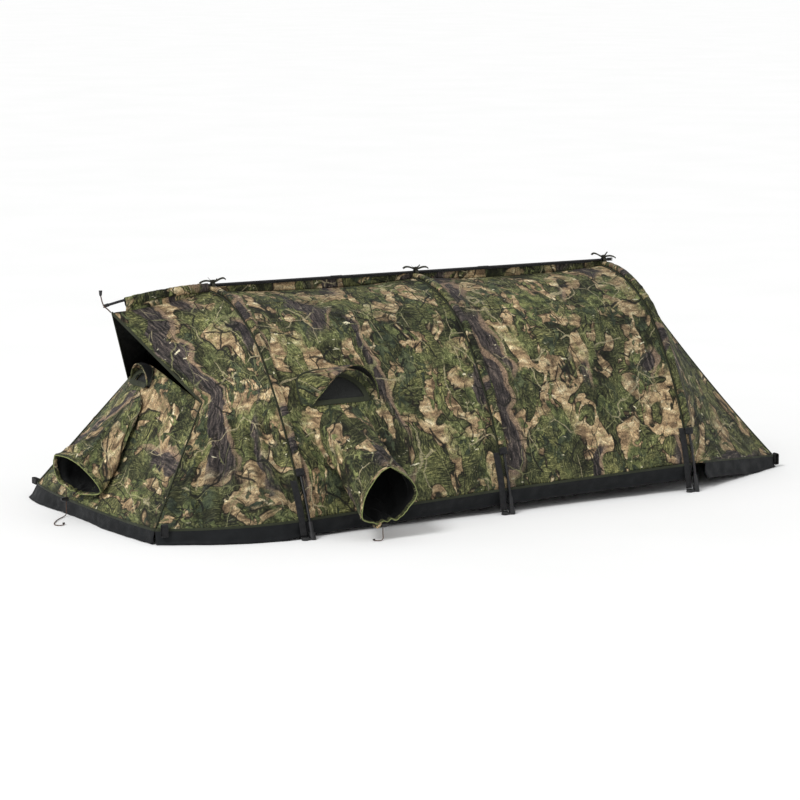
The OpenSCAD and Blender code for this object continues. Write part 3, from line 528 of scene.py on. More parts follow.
def printed_cloth():
    """Forest print: grassy ground, tan dead leaves, green leaves, bark, dark and pale twigs."""
    t = Tree("printed_cloth")
    uv = t.uv()
    loose = t.warp(uv, 5.0, 0.075)
    tight = t.warp(uv, 24.0, 0.020)
    swirl = t.warp(loose, 60.0, 0.006)

    strokes = t.noise(t.shift(swirl, (46, 210, 1), 8), 1.0, 4.0, 0.62)
    cross = t.noise(t.shift(swirl, (190, 52, 1), -22), 1.0, 4.0, 0.62)
    zone = t.band(t.noise(t.shift(loose, move=(2.2, 0.4, 0)), 7.0, 2.0), 0.42, 0.56)
    grass = t.blend(zone, t.ramp(strokes, GRASS), t.ramp(cross, GRASS))
    deep = t.noise(t.shift(loose, move=(9.1, 6.6, 0)), 8.5, 4.0, 0.55)
    colour = t.blend(1.0, grass, t.ramp(deep, [(0.34, (0.14, 0.145, 0.13)), (0.48, (0.82, 0.82, 0.74)),
                                               (0.62, (1.95, 1.85, 1.50))]), "MULTIPLY")

    dry_shape = t.noise(t.shift(loose, (1.0, 0.72, 1), 30, (3.1, 1.7, 0)), 10.5, 3.0, 0.46, 0.9)
    shading = t.noise(t.shift(tight, (0.7, 1.5, 1), 25), 26.0, 3.0, 0.55, 0.6)
    dry = t.ramp(shading, [(0.28, (0.075, 0.050, 0.032)), (0.42, (0.200, 0.138, 0.085)),
                           (0.55, (0.400, 0.295, 0.180)), (0.66, (0.600, 0.500, 0.335)),
                           (0.78, (0.860, 0.800, 0.620))])
    colour = t.blend(t.band(dry_shape, 0.500, 0.528), colour, (0.014, 0.012, 0.009))
    colour = t.blend(t.band(dry_shape, 0.528, 0.560), colour, dry)

    moss_zone = t.band(t.noise(t.shift(loose, move=(7.3, 4.4, 0)), 7.5, 3.0, 0.5, 0.5), 0.53, 0.66)
    moss = t.ramp(t.noise(t.shift(swirl, (1, 0.6, 1), 50), 120.0, 3.0, 0.65), [
        (0.32, (0.020, 0.025, 0.012)), (0.46, (0.100, 0.118, 0.048)), (0.60, (0.250, 0.275, 0.120)),
        (0.75, (0.560, 0.570, 0.310))])
    colour = t.blend(t.math("MULTIPLY", moss_zone, 0.65), colour, moss)

    for turn, move, count, greens in (
            (35, (0.0, 0.0, 0), 17.0, ((0.022, 0.030, 0.016), (0.085, 0.100, 0.042), (0.215, 0.230, 0.100))),
            (-52, (5.2, 2.9, 0), 23.0,
             ((0.016, 0.022, 0.016), (0.042, 0.054, 0.034), (0.110, 0.128, 0.065)))):
        shape = t.noise(t.shift(t.warp(loose, 30.0, 0.03), (1.0, 0.45, 1), turn, move), count, 2.0, 0.55, 1.6)
        where = t.band(t.noise(t.shift(uv, move=(move[0] + 1.3, 2.2, 0)), 4.6, 1.0), 0.49, 0.57)
        shade = t.ramp(t.noise(t.shift(tight, move=move), 30.0, 2.0), list(zip((0.30, 0.48, 0.68), greens)))
        leaf = t.math("MULTIPLY", t.band(shape, 0.560, 0.590), where)
        rim = t.math("MULTIPLY", t.band(shape, 0.525, 0.560), where)
        colour = t.blend(t.math("MULTIPLY", rim, 0.75), colour, (0.010, 0.014, 0.008))
        colour = t.blend(leaf, colour, shade)

    for per_metre, seed, width in ((1.7, 0.0, 0.046), (2.6, 4.7, 0.024)):
        colour = t.blend(trunk_mask(t, loose, per_metre, seed, width), colour, bark(t, tight))
        colour = t.blend(t.math("MULTIPLY", trunk_mask(t, loose, per_metre, seed, width, 0.022), 0.7), colour,
                         (0.270, 0.190, 0.140))

    for scale, move, width, tone, share in ((9.0, 0.0, 0.014, (0.010, 0.010, 0.009), 0.92),
                                            (15.0, 3.3, 0.016, (0.013, 0.013, 0.010), 0.80),
                                            (7.0, 8.1, 0.008, (0.400, 0.350, 0.235), 0.60),
                                            (11.0, 5.7, 0.009, (0.250, 0.250, 0.130), 0.55)):
        line = t.cells(t.shift(t.warp(loose, 18.0, 0.02), (1.0, 0.6, 1), 14, (move, move, 0)), scale,
                       "DISTANCE_TO_EDGE")
        part = t.band(t.noise(t.shift(uv, move=(move, 2.5, 0)), 8.0, 1.0), 0.50, 0.56)
        colour = t.blend(t.math("MULTIPLY", t.math("MULTIPLY", t.band(line, width * 1.6, width * 0.6), part),
                                share), colour, tone)

    glint = t.math("MULTIPLY", t.band(t.noise(t.shift(tight, (1, 2.2, 1), 40, (1.9, 9.0, 0)), 26.0, 3.0, 0.6),
                                      0.655, 0.70), t.band(t.noise(uv, 6.0, 1.0), 0.46, 0.58))
    colour = t.blend(t.math("MULTIPLY", glint, 0.85), colour, (0.78, 0.73, 0.56))
    scribble = t.noise(t.shift(tight, (1, 1, 1), 40), 150.0, 4.0, 0.7, 1.2)
    colour = t.blend(0.8, colour, t.ramp(scribble, [(0.36, (0.24, 0.25, 0.23)), (0.50, (0.98, 0.98, 0.98)),
                                                    (0.68, (2.00, 1.95, 1.75))]), "MULTIPLY")
    wide = t.ramp(t.noise(uv, 2.4, 2.0), [(0.35, (0.80, 0.82, 0.78)), (0.65, (1.18, 1.15, 1.06))])
    colour = t.blend(1.0, colour, wide, "MULTIPLY")

    crumple = t.bump(t.noise(t.warp(uv, 9.0, 0.04), 14.0, 4.0, 0.55), 0.006, 0.55)
    fine = t.bump(t.noise(uv, 55.0, 3.0), 0.0012, 0.5, crumple)
    normal = weave_bump(t, uv, 260.0, 0.0003, fine)
    rough = t.band(t.noise(uv, 30.0, 3.0), 0.3, 0.7, 0.60, 0.80)
    return t.finish(colour, rough, normal, Sheen_Weight=0.02, Specular_IOR_Level=0.18)


def trunk_mask(t, uv, per_metre, seed, width, ridge=0.0):
    """Upright wavering stripes, broken into lengths, or the lit ridge along one side of each."""
    push = t.math("MULTIPLY", t.noise(t.shift(uv, move=(seed, 0, 0)), 2.6, 3.0, 0.5), 0.34)
    split = t.add("ShaderNodeSeparateXYZ", {"Vector": uv}, 0)
    across = t.math("ADD", split, push)
    cycle = t.math("FRACT", t.math("MULTIPLY", t.math("ADD", across, seed), per_metre))
    off = t.math("SUBTRACT", cycle, 0.5 + (width * per_metre if ridge else 0.0))
    edge = t.math("MULTIPLY", t.noise(uv, 11.0, 3.0, 0.6), (ridge or width * 2) * per_metre)
    stripe = t.band(t.math("SUBTRACT", edge, t.math("ABSOLUTE", off)), 0.0, 0.012)
    part = t.band(t.noise(t.shift(uv, (1, 0.8, 1), 0, (seed, 5.5, 0)), 3.4, 1.0), 0.47, 0.54)
    return t.math("MULTIPLY", stripe, part)


def bark(t, vector):
    grain = t.noise(t.shift(vector, (120, 16, 1), 6), 1.0, 4.0, 0.6)
    return t.ramp(grain, [(0.34, (0.010, 0.009, 0.010)), (0.47, (0.034, 0.029, 0.031)),
                          (0.60, (0.085, 0.070, 0.068)), (0.74, (0.230, 0.180, 0.160))])


def dimmed(tone, factor):
    """A colour made darker, or brighter where the factor is over 1."""
    return tuple(factor * c for c in tone)


def plain_cloth(name, tone, weave=240.0):
    t = Tree(name)
    uv = t.uv()
    mottled = t.ramp(t.noise(uv, 9.0, 5.0, 0.6), [(0.3, dimmed(tone, 0.7)), (0.7, dimmed(tone, 1.35))])
    crumple = t.bump(t.noise(t.warp(uv, 8.0, 0.05), 13.0, 4.0), 0.006, 0.6)
    rough = t.band(t.noise(uv, 24.0, 2.0), 0.3, 0.7, 0.55, 0.78)
    return t.finish(mottled, rough, weave_bump(t, uv, weave, 0.0003, crumple), Sheen_Weight=0.04,
                    Specular_IOR_Level=0.15)


def ribbed(name, tone, ribs, distance):
    """Webbing, ribbon or braid, with ribs to the metre across its length."""
    t = Tree(name)
    uv = t.uv()
    shade = t.ramp(t.noise(uv, 90.0, 3.0), [(0.3, dimmed(tone, 0.6)), (0.7, dimmed(tone, 1.5))])
    height = t.math("ADD", t.wave(uv, ribs, "X"), t.math("MULTIPLY", t.wave(uv, ribs * 0.6, "Y"), 0.5))
    return t.finish(shade, 0.72, t.bump(height, distance, 0.7), Sheen_Weight=0.05, Specular_IOR_Level=0.25)


def moulded(name, tone, rough, grain=900.0, metal=0.0):
    """Plastic, glass fibre or steel, with a fine grain and a few scuffs."""
    t = Tree(name)
    place = t.place()
    scuff = t.band(t.noise(place, 160.0, 5.0, 0.7), 0.58, 0.75)
    shade = t.blend(t.math("MULTIPLY", scuff, 0.35), tone, tuple(min(1.0, 2.5 * c + 0.02) for c in tone))
    gloss = t.band(t.noise(place, 60.0, 3.0), 0.3, 0.7, rough - 0.06, rough + 0.08)
    return t.finish(shade, gloss, t.bump(t.noise(place, grain, 2.0), 0.0002, 0.4), Metallic=metal)


def net_cloth():
    """Fine black netting: holes shown by tone and relief."""
    t = Tree("net_cloth")
    place = t.place()
    holes = t.cells(place, 520.0, "DISTANCE_TO_EDGE")
    shade = t.ramp(holes, [(0.05, (0.030, 0.033, 0.030)), (0.2, (0.003, 0.003, 0.003))])
    return t.finish(shade, 0.85, t.bump(t.band(holes, 0.05, 0.2, 1, 0), 0.0008, 0.8))


CAMO = printed_cloth()
LINING = plain_cloth("dark_lining", (0.0045, 0.005, 0.005))
# Charcoal skirt cloth made darker than its own charcoal: painted shade for the shadow it hangs in under the
# hem.
SKIRT_WITH_PAINTED_SHADE = plain_cloth("skirt_cloth_painted_shade", (0.0085, 0.0095, 0.0105))
WEBBING = ribbed("black_webbing", (0.014, 0.014, 0.015), 420.0, 0.0006)
RIBBON = ribbed("tie_ribbon", (0.026, 0.025, 0.016), 500.0, 0.0004)
BRAID = ribbed("cord_braid", (0.030, 0.022, 0.018), 700.0, 0.0005)
THREAD = ribbed("seam_thread", (0.030, 0.034, 0.020), 900.0, 0.0003)
PLASTIC = moulded("black_plastic", (0.010, 0.010, 0.011), 0.42)
FIBREGLASS = moulded("pole_fibreglass", (0.007, 0.007, 0.008), 0.30, 500.0)
STEEL = moulded("ferrule_steel", (0.30, 0.30, 0.31), 0.38, 700.0, 1.0)
DARK_STEEL = moulded("blackened_steel", (0.020, 0.020, 0.021), 0.42, 700.0, 0.6)
ZIP = moulded("zip_coil", (0.014, 0.014, 0.014), 0.5, 400.0)
NET = net_cloth()
WELT = plain_cloth("seam_binding", (0.030, 0.034, 0.020), 420.0)
# Pale colour for the tube along each sleeve mouth's folded edge: painted highlight where light catches the
# fold.
RIM_HIGHLIGHT = plain_cloth("painted_rim_highlight", (0.230, 0.260, 0.095), 500.0)

# ------------------------------------------------------------------ camera and light

CAMERA_AT = (-5.39475, -9.62492, 2.00822)
LOOK_AT = (-0.0597, 0.0, 0.2870)


def aim(obj, target):
    direction = Vector(target) - obj.location
    obj.rotation_euler = direction.to_track_quat("-Z", "Y").to_euler()


def area_light(name, at, target, size, power, tint=(1, 1, 1)):
    data = bpy.data.lights.new(name, "AREA")
    data.shape, data.size, data.size_y = "RECTANGLE", size[0], size[1]
    data.energy, data.color = power, tint
    lamp = bpy.data.objects.new(name, data)
    bpy.context.scene.collection.objects.link(lamp)
    lamp.location = at
    aim(lamp, target)


def sun_light(name, at, strength, angle):
    data = bpy.data.lights.new(name, "SUN")
    data.energy, data.angle = strength, math.radians(angle)
    lamp = bpy.data.objects.new(name, data)
    bpy.context.scene.collection.objects.link(lamp)
    lamp.location = at
    aim(lamp, (0, 0, 0))


def stage():
    data = bpy.data.cameras.new("camera")
    data.lens, data.sensor_width, data.clip_end = 150.0, 36.0, 200.0
    camera = bpy.data.objects.new("camera", data)
    bpy.context.scene.collection.objects.link(camera)
    camera.location = CAMERA_AT
    aim(camera, LOOK_AT)
    bpy.context.scene.camera = camera

    world = bpy.data.worlds.new("studio")
    world.use_nodes = True
    world.node_tree.nodes["Background"].inputs["Color"].default_value = (1, 1, 1, 1)
    world.node_tree.nodes["Background"].inputs["Strength"].default_value = 0.68
    bpy.context.scene.world = world
    bpy.context.scene.view_settings.view_transform = "Standard"
    sun_light("key", (-4.6, -1.6, 5.4), 1.55, 20)
    area_light("side", (-6.0, -2.0, 2.4), (0, 0, 0.3), (2.4, 2.0), 40)

    t = Tree("floor")
    pale = t.ramp(t.noise(t.place(), 1.5, 2.0), [(0.3, (0.95, 0.955, 0.95)), (0.7, (0.975, 0.975, 0.975))])
    floor = grid("floor", points_of(np.array([[-60e3], [60e3]]), np.array([[-60e3, 60e3]]), -0.6),
                 materials=[t.finish(pale, 0.9)])


# ------------------------------------------------------------------ cords


def cord(name, route, diameter, body, node, **facts):
    """A free cord along its route, as one open spline."""
    points = catmull(route, 2) * MM
    data = bpy.data.curves.new(name, "CURVE")
    data.dimensions = "3D"
    spline = data.splines.new("POLY")
    spline.points.add(len(points) - 1)
    spline.points.foreach_set("co", np.hstack([points, np.ones((len(points), 1))]).ravel())
    data.bevel_depth = diameter / 2 * MM
    data.bevel_resolution = 4
    data.use_fill_caps = True
    data.materials.append(BRAID_CORD)
    obj = bpy.data.objects.new(name, data)
    bpy.context.scene.collection.objects.link(obj)
    attach(obj, node, body=body)
    return obj


def braid_on_place():
    """Braid for cords, whose curves have no texture coordinates of their own."""
    t = Tree("cord_braid_curve")
    place = t.place()
    lay = t.wave(t.shift(place, (1, 1, 1), 45), 380.0, "DIAGONAL")
    strands = t.math("ADD", lay, t.noise(place, 700.0, 2.0))
    shade = t.ramp(strands, [(0.3, (0.024, 0.012, 0.008)), (0.9, (0.110, 0.058, 0.040))])
    return t.finish(shade, 0.7, t.bump(strands, 0.0004, 0.8))


BRAID_CORD = braid_on_place()


def cords():
    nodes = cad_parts
    for which, route in (("front", FRONT_CORD), ("side", SIDE_CORD)):
        tip = knot(f"{which}_cord_knot", route[-1], 4.0)
        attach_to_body(tip, f"{which}_sleeve")
        cord(f"{which}_drawcord_line", route, 3.0, f"{which}_sleeve", f"{which}_drawcord",
             far_end="knot", stiffness="limp", lay="hanging",
             with_pieces=[nodes[f"{which}_cord_lock"], nodes[f"{which}_lock_button"], tip])
    cord("apex_cord_line", APEX_CORD, 4.0, "shelter", "apex_cord", far_end="fitting",
         stiffness="medium", lay="taut", with_pieces=[nodes["apex_toggle"]])


def knot(name, at, size, material=None, thick=1.3):
    """An overhand knot: three turns of cord or cloth drawn into a small lump."""
    k = np.linspace(0, 2 * np.pi, 49)[:-1]
    path = np.stack([np.sin(k) + 2 * np.sin(2 * k), np.cos(k) - 2 * np.cos(2 * k), -1.4 * np.sin(3 * k)], -1)
    path = np.asarray(at) + path * size * 0.30 + (0, 0, 1.9)
    rings = sweep(np.vstack([path, path[:1]]), (0.13, 0.2, 1.0), ellipse(thick, thick, 8))
    obj = grid(name, rings, wrap=True, materials=[material or BRAID])
    return obj


# ------------------------------------------------------------------ skin


def shape_from(place, s, t, push):
    """Points of a surface moved along its own normals by push (mm)."""
    rows = place(s, t)
    du, dv = np.gradient(rows, axis=0), np.gradient(rows, axis=1)
    return rows + unit(np.cross(du, dv)) * push[..., None]


def cloth_piece(name, rows, node, uv_at, keep=None, body="shelter",
                material=None, lining=None):
    obj = grid(name, rows, keep=keep, uv_at=uv_at, materials=[material or CAMO, lining or LINING])
    thicken(obj)
    attach(obj, node, body=body)
    declare_sheet(rows)
    return obj


CREASES = (0.17, 0.31, 0.47, 0.66)


def creased(start, end, count):
    """Places along a line, evenly spread, with more of them across each packing crease."""
    near = [line + k * 0.0035 for line in CREASES for k in (-2, -1, -0.3, 0.4, 1.1, 2)]
    return np.unique(np.round(np.concatenate([np.linspace(start, end, count), near]), 5))


def bay_push(s, t, seed):
    """Tension lines along the bay, soft dents, and the sharp creases left by packing."""
    arc = t * 0.95
    calm = np.sqrt(hump(s))
    push = 2.2 * folds(s * 1.6, arc * 13, seed) + 3.4 * noise(s * 2.4, arc * 5, seed + 1)
    for line in CREASES:
        waver = line + 0.003 * noise(s * 5, s * 0 + line * 40, seed)
        off = np.abs(t) - waver
        push += 3.4 * np.exp(-(off / 0.0035) ** 2) - 2.2 * np.exp(-((off + 0.012) / 0.012) ** 2)
    pucker = np.exp(-np.minimum(s, 1 - s) * 26) * noise(s * 0, arc * 42, seed + 3) * 1.2
    return push * calm * 0.9 + pucker * np.minimum(1, 14 * np.minimum(s, 1 - s))


def bays():
    for i, side, name, node in ((FRONT, -1, "near_front_bay_cloth", "near_front_bay"),
                                (FRONT, 1, "far_front_bay_cloth", "far_front_bay"),
                                (MIDDLE, -1, "near_rear_bay_cloth", "near_rear_bay"),
                                (MIDDLE, 1, "far_rear_bay_cloth", "far_rear_bay")):
        s, t = np.meshgrid(np.linspace(0.001, 0.999, 84), creased(0.001, 1, 100) * side, indexing="ij")
        if node == "far_rear_bay":
            s, t = door_grid()
        if side < 0:
            s, t = s[:, ::-1], t[:, ::-1]
        rows = shape_from(lambda a, b: bay_point(i, a, b), s, t, bay_push(s, t, 11 + 7 * i + side))
        middle = (rows[:-1, :-1] + rows[1:, 1:]) / 2
        keep = None
        if node == "near_front_bay":
            keep = ~(in_ring(middle, side_root()) | in_side_window(middle))
        if node == "far_rear_bay":
            keep = np.ones(middle.shape[:2], bool)
            keep[DOOR_COLUMNS[0]:DOOR_COLUMNS[1], DOOR_ROW:] = False
        cloth_piece(name, rows, node, (HOOP_X[i] * MM + 3.0, 2.0 * side + 0.37 * i), keep)


DOOR_COLUMNS = (15, 70)
DOOR_ROW = 40


def door_grid():
    """The far rear bay's grid, with lines along the front, rear and top of the door."""
    first, last = ((x - HOOP_X[MIDDLE]) / HOOP_X[REAR] for x in DOOR_X)
    s = np.concatenate([np.linspace(0.001, first, DOOR_COLUMNS[0] + 1)[:-1],
                        np.linspace(first, last, DOOR_COLUMNS[1] - DOOR_COLUMNS[0] + 1),
                        np.linspace(last, 0.999, 16)[1:]])
    top = np.array([door_top(v) for v in s])[:, None]
    above = np.linspace(0, 1, DOOR_ROW + 1)[None, :-1]
    below = np.linspace(0, 1, 61)[None, :]
    t = np.hstack([mix(0.001, top, above), mix(top, 1, below)])
    return np.broadcast_to(s[:, None], t.shape), t


def door_top(s):
    """How far round the arch the door's hanging line lies, at a place s along the bay."""
    t = np.linspace(0.02, 1, 300)
    z = bay_point(MIDDLE, np.full(300, s), t)[:, 2]
    return float(np.interp(-DOOR_TOP, -z, t))


def door():
    s, t = door_grid()
    part = (slice(DOOR_COLUMNS[0], DOOR_COLUMNS[1] + 1), slice(DOOR_ROW, None))
    s, t = s[part], t[part]
    rows = shape_from(lambda a, b: bay_point(MIDDLE, a, b), s, t, bay_push(s, t, 19))
    rows = np.concatenate([mix(rows[:1], rows[1:2], 0.15), rows[1:-1], mix(rows[-1:], rows[-2:-1], 0.15)])
    cloth_piece("door_cloth", rows, "door_flap", (HOOP_X[MIDDLE] * MM + 3.0, 2.37),
                body="door")
    lift = unit(np.cross(rows[0, -1] - rows[0, 0], rows[-1, 0] - rows[0, 0])) * -1.6
    for name, line, side in (("door_front_binding", rows[0], (1, 0, 0)),
                             ("door_rear_binding", rows[-1], (1, 0, 0)),
                             ("door_foot_binding", rows[:, -1], (0, 0, 1))):
        edge = strap(name, line[::3] + lift * 0.4, side, 12.0, WEBBING, 3.4, 2)
        attach(edge, body="door")
    hinge = strap("door_hinge_tape", rows[:, 0][::4] - lift * 1.2, (0, 0.3, 1), 16.0, WEBBING, 1.2, 2)
    attach(hinge)


def canopies():
    for side, which in SIDES:
        s, t = np.meshgrid(np.linspace(0, 0.999, 58), np.linspace(0.001, 1, 110) * side, indexing="ij")
        if side < 0:
            s, t = s[:, ::-1], t[:, ::-1]
        rows = shape_from(canopy_point, s, t, canopy_push(s, t, 31 + side))
        cloth_piece(f"{which}_canopy_cloth", rows, f"{which}_canopy", (1.2, 2.0 * side + 0.1))


def canopy_push(s, t, seed):
    """Folds that climb from the front hem towards the hoop, and lines pulled from the peak."""
    m = np.abs(t)
    low = smooth((m - 0.52) / 0.2) * smooth((1 - m) / 0.06)
    run = s * 6.2 + (1 - m) * 2.2 + 0.25 * noise(s * 4, m * 7, seed)
    climbing = 9.0 * low * np.sin(2 * np.pi * run) * smooth(s / 0.12) * smooth((1 - s) / 0.16)
    climbing = climbing + 3.75 * low * folds(s * 9 + m * 4, m * 3, seed + 2)
    high = 1 - smooth((m - 0.45) / 0.15)
    pulled = 2.0 * high * folds(m * 9 / (s + 0.35), s * 1.2, seed + 4) * hump(s)
    dents = 2.2 * noise(s * 3, m * 9, seed + 6)
    return (climbing + pulled + dents) * smooth(s / 0.05) * smooth((1 - s) / 0.08)


def front_face():
    u, v = np.meshgrid(np.linspace(-0.998, 0.998, 110), np.linspace(1, 0, 66), indexing="ij")
    fall = 3.2 * folds(u * 7 / (0.5 + v), v * 1.6, 51) + 2.5 * noise(u * 5, v * 5, 52)
    push = fall * hump(v) * smooth((1 - np.abs(u)) / 0.08)
    rows = shape_from(panel_point, u.T, v.T, push.T)
    middle = (rows[:-1, :-1] + rows[1:, 1:]) / 2
    keep = ~(in_ring(middle, front_root()) | in_front_window(middle))
    cloth_piece("front_panel_cloth", rows, "front_panel", (5.5, 0.4), keep)


def tail():
    for t0, t1, which, n in ((-1, -TAIL_CORNER - 0.001, "near", 60),
                             (-TAIL_CORNER + 0.001, TAIL_CORNER - 0.001, "rear", 90),
                             (TAIL_CORNER + 0.001, 1, "far", 60)):
        s, t = np.meshgrid(np.linspace(0.001, 1, 66), np.linspace(t0, t1, n), indexing="ij")
        edge = np.minimum(t - t0, t1 - t) / (t1 - t0)
        fan = 3.0 * folds(t * 9, s * 1.3, 71) * smooth(s / 0.3) + 2.4 * noise(s * 3, t * 6, 72)
        push = fan * hump(np.clip(s, 0, 1)) * smooth(edge / 0.10)
        rows = shape_from(tail_point, s, t, push)
        cloth_piece(f"{which}_tail_cloth", rows, f"{which}_tail_panel", (HOOP_X[REAR] * MM + 3.0, 1.0 + t0))


# ------------------------------------------------------------------ lens sleeves

FRONT_ROOT = panel_top(0.0) + 195 * PANEL_DOWN
SIDE_ROOT = wall_point(288)
FRONT_MOUTH = np.array((-1248.0, -50, 143))
FRONT_MOUTH_UP = unit((-10.0, -28, 50))
FRONT_MOUTH_ACROSS = unit((-35.0, 89, 42))
SIDE_MOUTH = np.array((-545.0, -802, 145))
SIDE_MOUTH_UP = unit((0.08, -0.07, 1))
SIDE_MOUTH_ACROSS = np.array((-1.0, 0, 0))
# Outline of each mouth: distance across, distance up
FRONT_OUTLINE = ((106, 22), (50, 48), (-12, 56), (-80, 42), (-114, 20), (-104, -4), (-44, -44), (-2, -66),
                 (56, -72), (84, -72), (108, -28))
SIDE_OUTLINE = ((11, 86), (-34, 62), (-72, 33), (-95, -12), (-72, -48), (-42, -80), (-4, -84), (30, -90),
                (62, -84), (90, -66), (86, 0), (46, 66))


def front_root():
    return FRONT_ROOT, 94 * -PANEL_DOWN, np.array((0, SLEEVE_R + 4, 0))


def side_root():
    return SIDE_ROOT, -92 * SIDE_DOWN, np.array((-SLEEVE_R - 4, 0, 0))


def in_ring(points, ring, margin=0.82):
    """Which points lie in a sleeve's root, seen along its own axis."""
    centre, up, across = ring
    a = ((points - centre) @ up) / (up @ up)
    b = ((points - centre) @ across) / (across @ across)
    off = (points - centre) @ unit(np.cross(up, across))
    return (a * a + b * b < margin ** 2) & (np.abs(off) < 60)


def in_side_window(points, grow=0.0):
    """Which points lie in the half-moon window of the near wall."""
    x, z = points[..., 0] - SIDE_WINDOW_X, points[..., 2] - SIDE_WINDOW_Z
    return ((x / (108 + grow)) ** 2 + (z / (80 + grow)) ** 2 < 1) & (z > -grow) & (points[..., 1] < -250)


def in_front_window(points, grow=0.0):
    up = FRONT_WINDOW_DROP - (points - panel_top(0.0)) @ PANEL_DOWN
    return ((points[..., 1] / (58 + grow)) ** 2 + (up / (46 + grow)) ** 2 < 1) & (up > -grow)


def window_nets():
    """Netting sewn behind both half-moon windows."""
    s, z = np.meshgrid(np.linspace(0.08, 0.47, 60), np.linspace(SIDE_WINDOW_Z - 14, SIDE_WINDOW_Z + 100, 30),
                       indexing="ij")
    t = np.stack([np.interp(z[k], *near_wall_lookup(s[k, 0])) for k in range(len(s))])
    net_piece("side_window_net", bay_point(FRONT, s, t), "side_window_mesh", lambda p: in_side_window(p, 7))
    u, v = np.meshgrid(np.linspace(-0.30, 0.30, 40), np.linspace(0.30, 0.0, 40), indexing="ij")
    net_piece("front_window_net", panel_point(u.T, v.T), "front_window_mesh", lambda p: in_front_window(p, 7))


def near_wall_lookup(s):
    """Heights and places round the arch for the near wall, for np.interp."""
    t = np.linspace(-1, -0.2, 300)
    return bay_point(FRONT, np.full(300, s), t)[:, 2], t


def net_piece(name, rows, node, inside):
    du, dv = np.gradient(rows, axis=0), np.gradient(rows, axis=1)
    rows = rows - 3.2 * unit(np.cross(du, dv))
    keep = inside((rows[:-1, :-1] + rows[1:, 1:]) / 2)
    used = [np.flatnonzero(keep.any(axis)) for axis in (1, 0)]
    (i0, i1), (j0, j1) = ((u[0], u[-1] + 1) for u in used)
    rows, keep = rows[i0:i1 + 1, j0:j1 + 1], keep[i0:i1, j0:j1]
    obj = thicken(grid(name, rows, keep=keep, materials=[NET]), 0.6, lined=False)
    attach(obj, node)
    declare_sheet(rows)


def outline_radius(outline, angle):
    """Distance from a mouth's middle to its rim, at an angle from straight up towards the across side."""
    ring = catmull(list(outline) + [outline[0]], 6)
    a = np.arctan2(ring[:, 0], ring[:, 1]) % (2 * np.pi)
    order = np.argsort(a)
    return np.interp(angle % (2 * np.pi), a[order], np.hypot(*ring.T)[order], period=2 * np.pi)


def sleeve_rows(root, mouth, outline, seed, dip, rows=84, around=120, sag=14.0):
    """Rings from the wall to the mouth, with the slack folds of a limp cloth tube."""
    k = np.linspace(0, 1, rows)[:, None, None]
    a = -np.linspace(0, 2 * np.pi, around, endpoint=False)[None, :, None]
    centre = mix(root[0], mouth[0], k) + np.array((0, 0, 6.0 - dip)) * hump(k)
    reach = outline_radius(outline, a)
    first = root[1] * np.cos(a) + root[2] * np.sin(a)
    last = (mouth[1] * np.cos(a) + mouth[2] * np.sin(a)) * reach
    ring = centre + mix(first * (1 + 0.10 * np.exp(-k * 16)), last, smooth(k) * 0.5 + k * 0.5)
    out = unit(ring - centre)
    kk, aa = k[..., 0], a[..., 0]
    c, s = np.cos(aa), np.sin(aa)
    soft = 9.0 * noise(kk * 4.5 + 2.0 * c, 3 * s + kk * 2, seed)
    rings = np.abs(np.sin(np.pi * (kk * 5.2 + 0.55 * s + 0.35 * noise(kk * 3, 2 * s, seed + 2))))
    uneven = 0.6 + 0.4 * noise(c, s, seed)
    rings = 10.0 * (0.5 - np.sqrt(rings)) * np.exp(-((kk - 0.26) / 0.26) ** 2) * uneven
    lengthwise = 5.0 * folds(1.6 * c + kk * 1.2, 1.9 * s + 9 + kk * 0.5, seed + 4)
    push = (soft + rings + lengthwise) * smooth(kk / 0.06) * smooth((1.02 - kk) / 0.16)
    crease = -7.0 * np.exp(-((kk - 0.88) / 0.018) ** 2) * smooth(c)
    underneath = np.exp(-((aa % (2 * np.pi) - np.pi) / 0.42) ** 2)
    gather = 4.5 * np.cos(18 * aa) * underneath * smooth((kk - 0.6) / 0.4)
    hang = sag * hump(kk) * (c < 0) * c ** 2
    return ring + out * (push + crease + gather)[..., None] - np.array((0, 0, 1.0)) * hang[..., None]


def lens_sleeve(name, body, root, mouth, outline, seed, dip, uv_at):
    rows = sleeve_rows(root, mouth, outline, seed, dip)
    obj = grid(f"{name}_lens_sleeve_cloth", rows, wrap=True, materials=[CAMO, LINING], uv_at=uv_at)
    thicken(obj)
    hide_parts(f"{name}_lens_sleeve")
    declare_sheet(rows, wrap=True)
    tuple(mix(root[0], mouth[0], 0.5) * MM)
    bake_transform(obj)
    mouth_hem(name, body, rows[-1], rows[-4], seed, uv_at)


